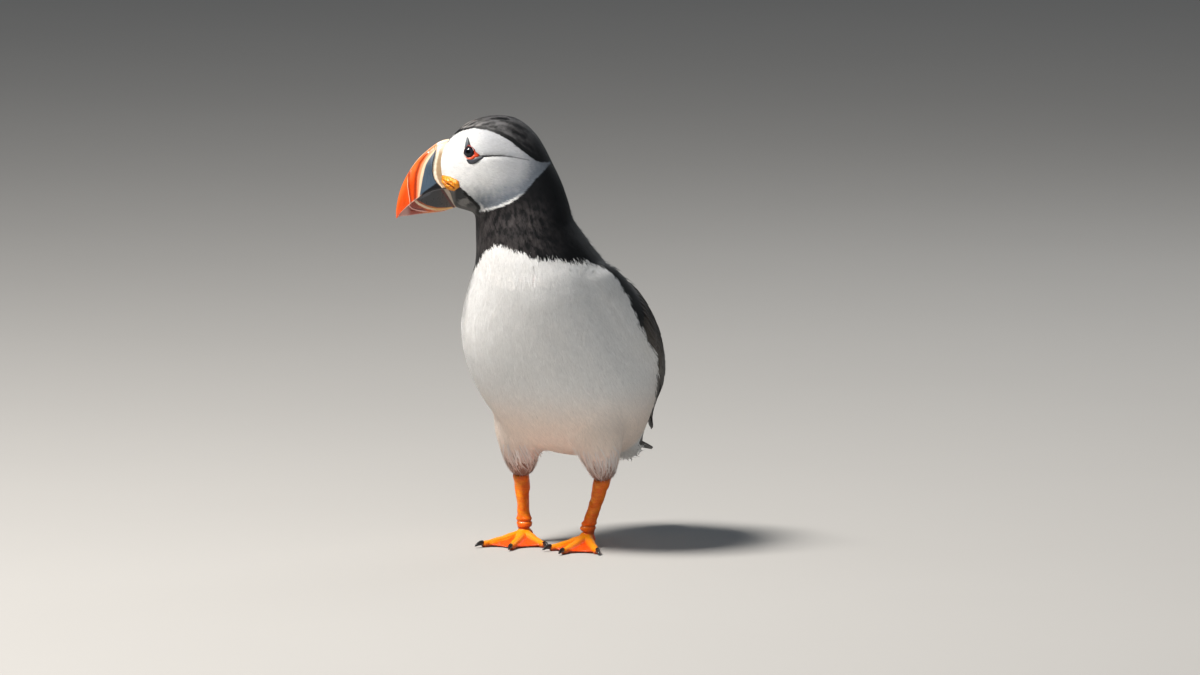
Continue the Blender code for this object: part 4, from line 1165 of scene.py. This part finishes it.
def domed(name, outline, side, low, high, finish, paint, rings=7, crease=None):
    """A plate or swelling on the head inside an outline in the head's plane."""
    middle, count = outline.mean(0), len(outline)
    share = np.linspace(0, 1, rings)[1:, None, None]
    grid = np.vstack([middle, (middle + (outline[None] - middle) * share).reshape(-1, 2)])
    f, z = grid.T
    r = np.concatenate([[0.0], np.repeat(share.ravel(), count)])
    spots, ways = side_hits(f, z, side)
    rise = low + (high - low) * np.sqrt(np.clip(1 - r**2.6, 0, 1))
    if crease:
        spots, ways = evened(f, z, spots, ways, side)
        rise = rise + crease(f, z, r)
    ways = unit(ways + HEAD_LEFT * side)
    j = np.arange(count)
    nxt = (j + 1) % count
    quads = [np.stack([a + j, a + count + j, a + count + nxt, a + nxt], 1)
             for a in 1 + count * np.arange(rings - 2)]
    faces = [np.stack([0 * j, 1 + j, 1 + nxt], 1), np.vstack(quads)]
    if side * np.cross(outline[1] - outline[0], middle - outline[0]) < 0:
        faces = [g[:, ::-1] for g in faces]
    return build(name, spots + ways * rise[:, None], faces, finish, paint(f, z, r))


def closed_curve(points, steps=5):
    p = np.asarray(points)
    return curve(np.vstack([p[-1:], p, p[:2]]), steps)[steps:-steps - 1]


def plate_paint(base, shadow, r):
    """A plate's colour, darker in its shadow and towards its rim."""
    return mixed(base, LINE, np.maximum(shadow, 0.7 * step_between(0.7, 1.0, r)))


def upper_plate_paint(f, z, r):
    return plate_paint(PLATE_BLUE, step_between(0.1, -0.5, f - 28.3 - 0.12 * (z - 219.4)), r)


def lower_plate_paint(f, z, r):
    return plate_paint(PLATE_DARK, 0, r)


def add_eyeball(name, side):
    out, fore, top = EYE_FRAMES[name]
    polar, around = np.meshgrid(np.linspace(0, pi / 2, 26), np.linspace(0, 2 * pi, 48, endpoint=False),
                                indexing="ij")
    x, y = np.sin(polar) * np.cos(around), np.sin(polar) * np.sin(around)
    ball = EYEBALL_RADIUS * (x[..., None] * fore + y[..., None] * top + np.cos(polar)[..., None] * out)
    radial = EYEBALL_RADIUS * np.sin(polar)
    shade = layered(PUPIL, (IRIS, step_between(1.15, 1.35, radial)), (PUPIL, step_between(2.1, 2.5, radial)))
    quads = ring_mesh(*polar.shape)[0]
    obj = build(f"eye_ball_{name}", EYES[name] + ball, quads if side > 0 else quads[:, ::-1], EYEBALL, shade)
    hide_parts(f"eye_{name}")


def add_eye_ring(name, side):
    """The red ring of bare skin, from the eyeball to the edge of the feathers."""
    out, fore, top = EYE_FRAMES[name]
    centre = EYES[name]
    turn = np.linspace(0, 2 * pi, 96, endpoint=False)
    k = np.linspace(0, 1, 11)[:, None]
    radius = OPENING + (ring_reach(turn) - OPENING) * k
    aside = np.cos(turn)[:, None] * fore + np.sin(turn)[:, None] * top
    inner = centre + OPENING * aside + out * (sqrt(EYEBALL_RADIUS**2 - OPENING**2) - 0.1)
    edge_f, edge_z, _ = head_place(centre + radius[-1][:, None] * aside)
    outer, ways = side_hits(edge_f, edge_z, side)
    outer = outer - ways * 0.25
    wrinkles = ripple((centre + radius[..., None] * aside).reshape(-1, 3), 0.9, 4).reshape(radius.shape)
    rise = 0.6 * np.sin(pi * k**0.8) + 0.1 * wrinkles * k
    grid = inner + (outer - inner) * k[..., None] + out * rise[..., None]
    lower_half = 0.5 - 0.5 * np.sin(turn)
    shade = layered(RING_RED, (RING_ORANGE, lower_half[None] * np.sin(pi * np.clip(k * 0.8 + 0.1, 0, 1))),
                    (RING_DARK, 0.7 * lobe(turn, 15, 60)[None] * step_between(1.0, 0.6, k)),
                    (PUPIL, 0.9 * lobe(turn, 118, 42)[None] * step_between(0.5, 0.3, k)),
                    (PUPIL, lobe(turn, 138, 58)[None] * step_between(0.5, 0.72, k)),
                    (PUPIL, step_between(5.1, 6.1, radius)), (PUPIL, step_between(0.22, 0.05, k)))
    quads = ring_mesh(*radius.shape)[0]
    obj = build(f"eye_ring_{name}", grid, quads[:, ::-1] if side > 0 else quads, LID, shade)


def add_eye_plates(name, side):
    for which, outline, paint in (("upper", UPPER_PLATE, upper_plate_paint),
                                  ("lower", LOWER_PLATE, lower_plate_paint)):
        obj = domed(f"eye_horn_{which}_{name}", closed_curve(outline), side, 0.1, 0.8, PLATE, paint)
        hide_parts(f"eye_plate_{which}_{name}")


ROSETTE_SLOPE = radians(30)  # its front end is the higher one
ROSETTE_YELLOW, ROSETTE_FOLD_SHADE = colour(236, 146, 0), colour(150, 58, 0)


def add_rosette(name, side):
    """The wrinkled yellow skin at the corner of the mouth."""
    turn = np.linspace(0, 2 * pi, 60, endpoint=False)
    length = 5.5 + 0.35 * np.sin(3 * turn + 1) + 0.2 * np.sin(7 * turn)
    x, y = length * np.cos(turn), 0.7 * length * np.sin(turn)
    tilt_x, tilt_y = cos(ROSETTE_SLOPE), sin(ROSETTE_SLOPE)
    middle_f, middle_z = ROSETTE_PLACE
    outline = np.stack([middle_f + x * tilt_x - y * tilt_y, middle_z + x * tilt_y + y * tilt_x], 1)

    def local(f, z):
        f, z = f - middle_f, z - middle_z
        return f * tilt_x + z * tilt_y, z * tilt_x - f * tilt_y

    def folds(f, z, r):
        u, v = local(f, z)
        main = hump(v + 0.6 + 0.3 * np.sin(u), 0, 0.4) * step_between(-4.6, -2.5, u)
        branch = hump(u + 0.9 * v - 0.4, 0, 0.35) * (v > -0.6) * step_between(2.6, 1.2, v)
        wrinkles = 0.34 * np.sin(3.4 * v + 1.6 * np.sin(1.3 * u)) * np.cos(2.1 * u)
        dimple = 0.3 * np.exp(-(((u - 3.6) ** 2 + (v - 1.2) ** 2) / 0.5))
        return (-0.95 * main - 0.5 * branch + wrinkles - dimple) * (1 - r**4)

    def paint(f, z, r):
        # painted shade: deeper orange in the folds and at the rim, where the skin sinks in
        fold_shade = np.clip(-folds(f, z, r) * 1.1, 0, 1)
        return mixed(ROSETTE_YELLOW, ROSETTE_FOLD_SHADE, np.clip(0.9 * fold_shade + step_between(0.8, 1, r) * 0.7, 0, 1))

    obj = domed(f"rosette_skin_{name}", outline, side, -1.1, 1.9, ROSETTE, paint, rings=22, crease=folds)
    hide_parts(f"rosette_{name}")


# ---- legs and feet ----
LEG_ORANGE, WEB_ORANGE, TOE_YELLOW_AND_HIGHLIGHT = colour(240, 104, 0), colour(248, 82, 0), colour(255, 154, 4)
LEG_SHADOW, SOLE = colour(150, 62, 10), colour(170, 62, 12)
CLAW_BLACK, CLAW_ROOT = colour(24, 22, 22), colour(122, 100, 92)
TOES = ("inner", "middle", "outer")


def toe_place(points, name, joint):
    """How far points are outside the nearest toe's edge, and how far along that toe."""
    best, along = np.full(len(points), 99.0), np.zeros(len(points))
    for toe in TOES:
        way = (node_middle(f"claw_{toe}_{name}") - joint) * (1, 1, 0)
        length = np.linalg.norm(way)
        way = way / length
        u = np.clip((points - joint) @ way, 0, length)
        half_width = 2.6 - 0.9 * u / length
        gap = np.linalg.norm((points - joint - u[:, None] * way) * (1, 1, 0), axis=1) - half_width
        along = np.where(gap < best, u, along)
        best = np.minimum(best, gap)
    return best, along


def add_leg(name):
    """Shank and webbed foot as one skin, with rings down the shank's front and scutes along the toes."""
    points, tris = remeshed([grown_node(f"{part}_{name}", 0.2) for part in ("shank", "foot")], 0.42)
    points = smoothed(points, tris, 6)
    joint = np.array(LEG_POINTS[name][2]) + DESIGN
    gap, along = toe_place(points, name, joint)
    toe = step_between(0.7, -0.3, gap)
    z = points[:, 2]
    up = step_between(8, 12, z)
    out = normals_of(points, tris)
    scutes = np.abs(np.sin(pi * along / 1.7)) ** 0.6 * toe * (1 - up) * np.clip(out[:, 2], 0, 1)
    plates = z + 0.15 * points[:, 0] + 0.5 * ripple(points, 5, 14)
    rings = np.abs(np.sin(pi * plates / 2.1)) ** 0.6 * step_between(13, 17, z) * np.clip(-out[:, 1], 0, 1)
    crease = hump(z, 11.6, 0.4)
    folds = hump(z, 10.4, 0.7) + hump(z, 12.9, 0.7) - crease
    creases = 0.12 * ripple(points * (1, 1, 0.3), 2.4, 12) * (1 - toe) * (1 - up)
    knobs = 0.35 * ripple(points, 9, 15) * up
    points = points + out * (0.2 * scutes + 0.11 * rings + 0.3 * folds + creases + knobs)[:, None]
    points[:, 2] = np.maximum(points[:, 2], 0.0)
    # painted highlight: the rings on the shank's front are painted yellower; lit and shaded copies of the orange
    # are painted, darker near the thigh and in the ankle crease
    lit = mixed(LEG_ORANGE, TOE_YELLOW_AND_HIGHLIGHT, np.clip(0.45 * rings + 0.3 * ripple(points, 6, 16) + 0.15, 0, 1))
    # the toes are yellower of their own, and more so on their upward-facing scutes, a painted highlight
    shade = layered(WEB_ORANGE, (TOE_YELLOW_AND_HIGHLIGHT, toe * np.clip(0.25 + 0.75 * scutes + 0.2, 0, 1)),
                    (SOLE, step_between(0.2, -0.4, out[:, 2]) * (1 - up)),
                    (mixed(lit, LEG_SHADOW, step_between(33, 39, z)), up),
                    (LEG_SHADOW, crease * 0.6))
    obj = build(f"leg_{name}", points, tris, SCALES, shade)
    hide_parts(f"shank_{name}", f"foot_{name}")
    for toe in TOES:
        points, tris = remeshed([grown_node(f"claw_{toe}_{name}", 0.1)], 0.28)
        points = smoothed(points, tris, 5)
        base = np.linalg.norm((points - joint) * (1, 1, 0), axis=1)
        root = step_between(base.min() + 2.6, base.min() + 0.6, base)
        shade = mixed(CLAW_BLACK, CLAW_ROOT, root * step_between(2.4, 1.4, points[:, 2]))
        obj = build(f"claw_{toe}_{name}_horn", points, tris, CLAW, shade)
        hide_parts(f"claw_{toe}_{name}")


# ---- floor, light and camera ----
PHOTO_TURN, PHOTO_RISE = radians(28), radians(7)  # from where the photo looks
PHOTO_WIDTH = 636.0  # how much of the bird's plane the picture shows across
AIM = (28.62, 113.16)  # the picture's middle, right of and above the design origin
DISTANCE = 9000.0
FLOOR_COLOUR, SKY_COLOUR, SKY_STRENGTH = (0.4, 0.388, 0.37, 1), (0.52, 0.64, 0.78, 1), 0.13
LIGHTS = (  # name; ahead of, right of and above the bird's middle; power in watts, size in metres, tint
    ("key", -540, -970, 1760, 90, 0.55, (1, 0.965, 0.92)),
    ("fill", -1300, 900, 600, 2, 1.4, (0.7, 0.85, 1)),
    ("back", 1100, 700, 900, 3.5, 1.0, (0.9, 0.95, 1)))


def add_stage():
    mesh = bpy.data.meshes.new("floor")
    work = bmesh.new()
    bmesh.ops.create_grid(work, x_segments=1, y_segments=1, size=14.0)
    work.to_mesh(mesh)
    work.free()
    made = Finish("pale floor", Roughness=0.85)
    plain = made.node("RGB").outputs[0]
    plain.default_value = FLOOR_COLOUR
    made.paint(plain, made.spread(made.noise(made.place(), 3.0), 0.98, 1.0))
    mesh.materials.append(made.material)
    new_object("floor", mesh)


def put_at(obj, place, way):
    """Places a light or the camera, looking along a direction."""
    obj.location = Vector(place) * MM
    obj.rotation_euler = Vector(way).to_track_quat("-Z", "Y").to_euler()


def add_camera_and_light():
    right = np.array([cos(PHOTO_TURN), sin(PHOTO_TURN), 0])
    flat = np.array([-sin(PHOTO_TURN), cos(PHOTO_TURN), 0])
    ahead = flat * cos(PHOTO_RISE) - UP * sin(PHOTO_RISE)
    target = DESIGN + right * AIM[0] + np.cross(right, ahead) * AIM[1]
    camera = bpy.data.cameras.new("camera")
    camera.sensor_width = 36
    camera.lens = 36 * DISTANCE / PHOTO_WIDTH
    camera.clip_end = 100
    obj = new_object("camera", camera)
    put_at(obj, target - ahead * DISTANCE, ahead)
    bpy.context.scene.camera = obj
    level = unit(ahead * (1, 1, 0))
    middle = target * (1, 1, 0) + (0, 0, 120)
    for name, forward, aside, height, power, size, tint in LIGHTS:
        light = bpy.data.lights.new(name, "AREA")
        light.energy, light.color, light.size = power, tint, size
        obj = new_object(name, light)
        place = middle + level * forward + right * aside + UP * height
        put_at(obj, place, middle - place)
    world = bpy.data.worlds.new("studio")
    world.use_nodes = True
    background = world.node_tree.nodes["Background"].inputs
    background[0].default_value, background[1].default_value = SKY_COLOUR, SKY_STRENGTH
    bpy.context.scene.world = world
    bpy.context.scene.view_settings.view_transform = "Standard"


add_skin()
add_coat()
add_wing_rows()
add_tail()
FACE_TREE = add_bill()
for side_name, side_sign in SIDES:
    add_eyeball(side_name, side_sign)
    add_eye_ring(side_name, side_sign)
    add_eye_plates(side_name, side_sign)
    add_rosette(side_name, side_sign)
    add_leg(side_name)
add_stage()
add_camera_and_light()

bpy.context.view_layer.update()
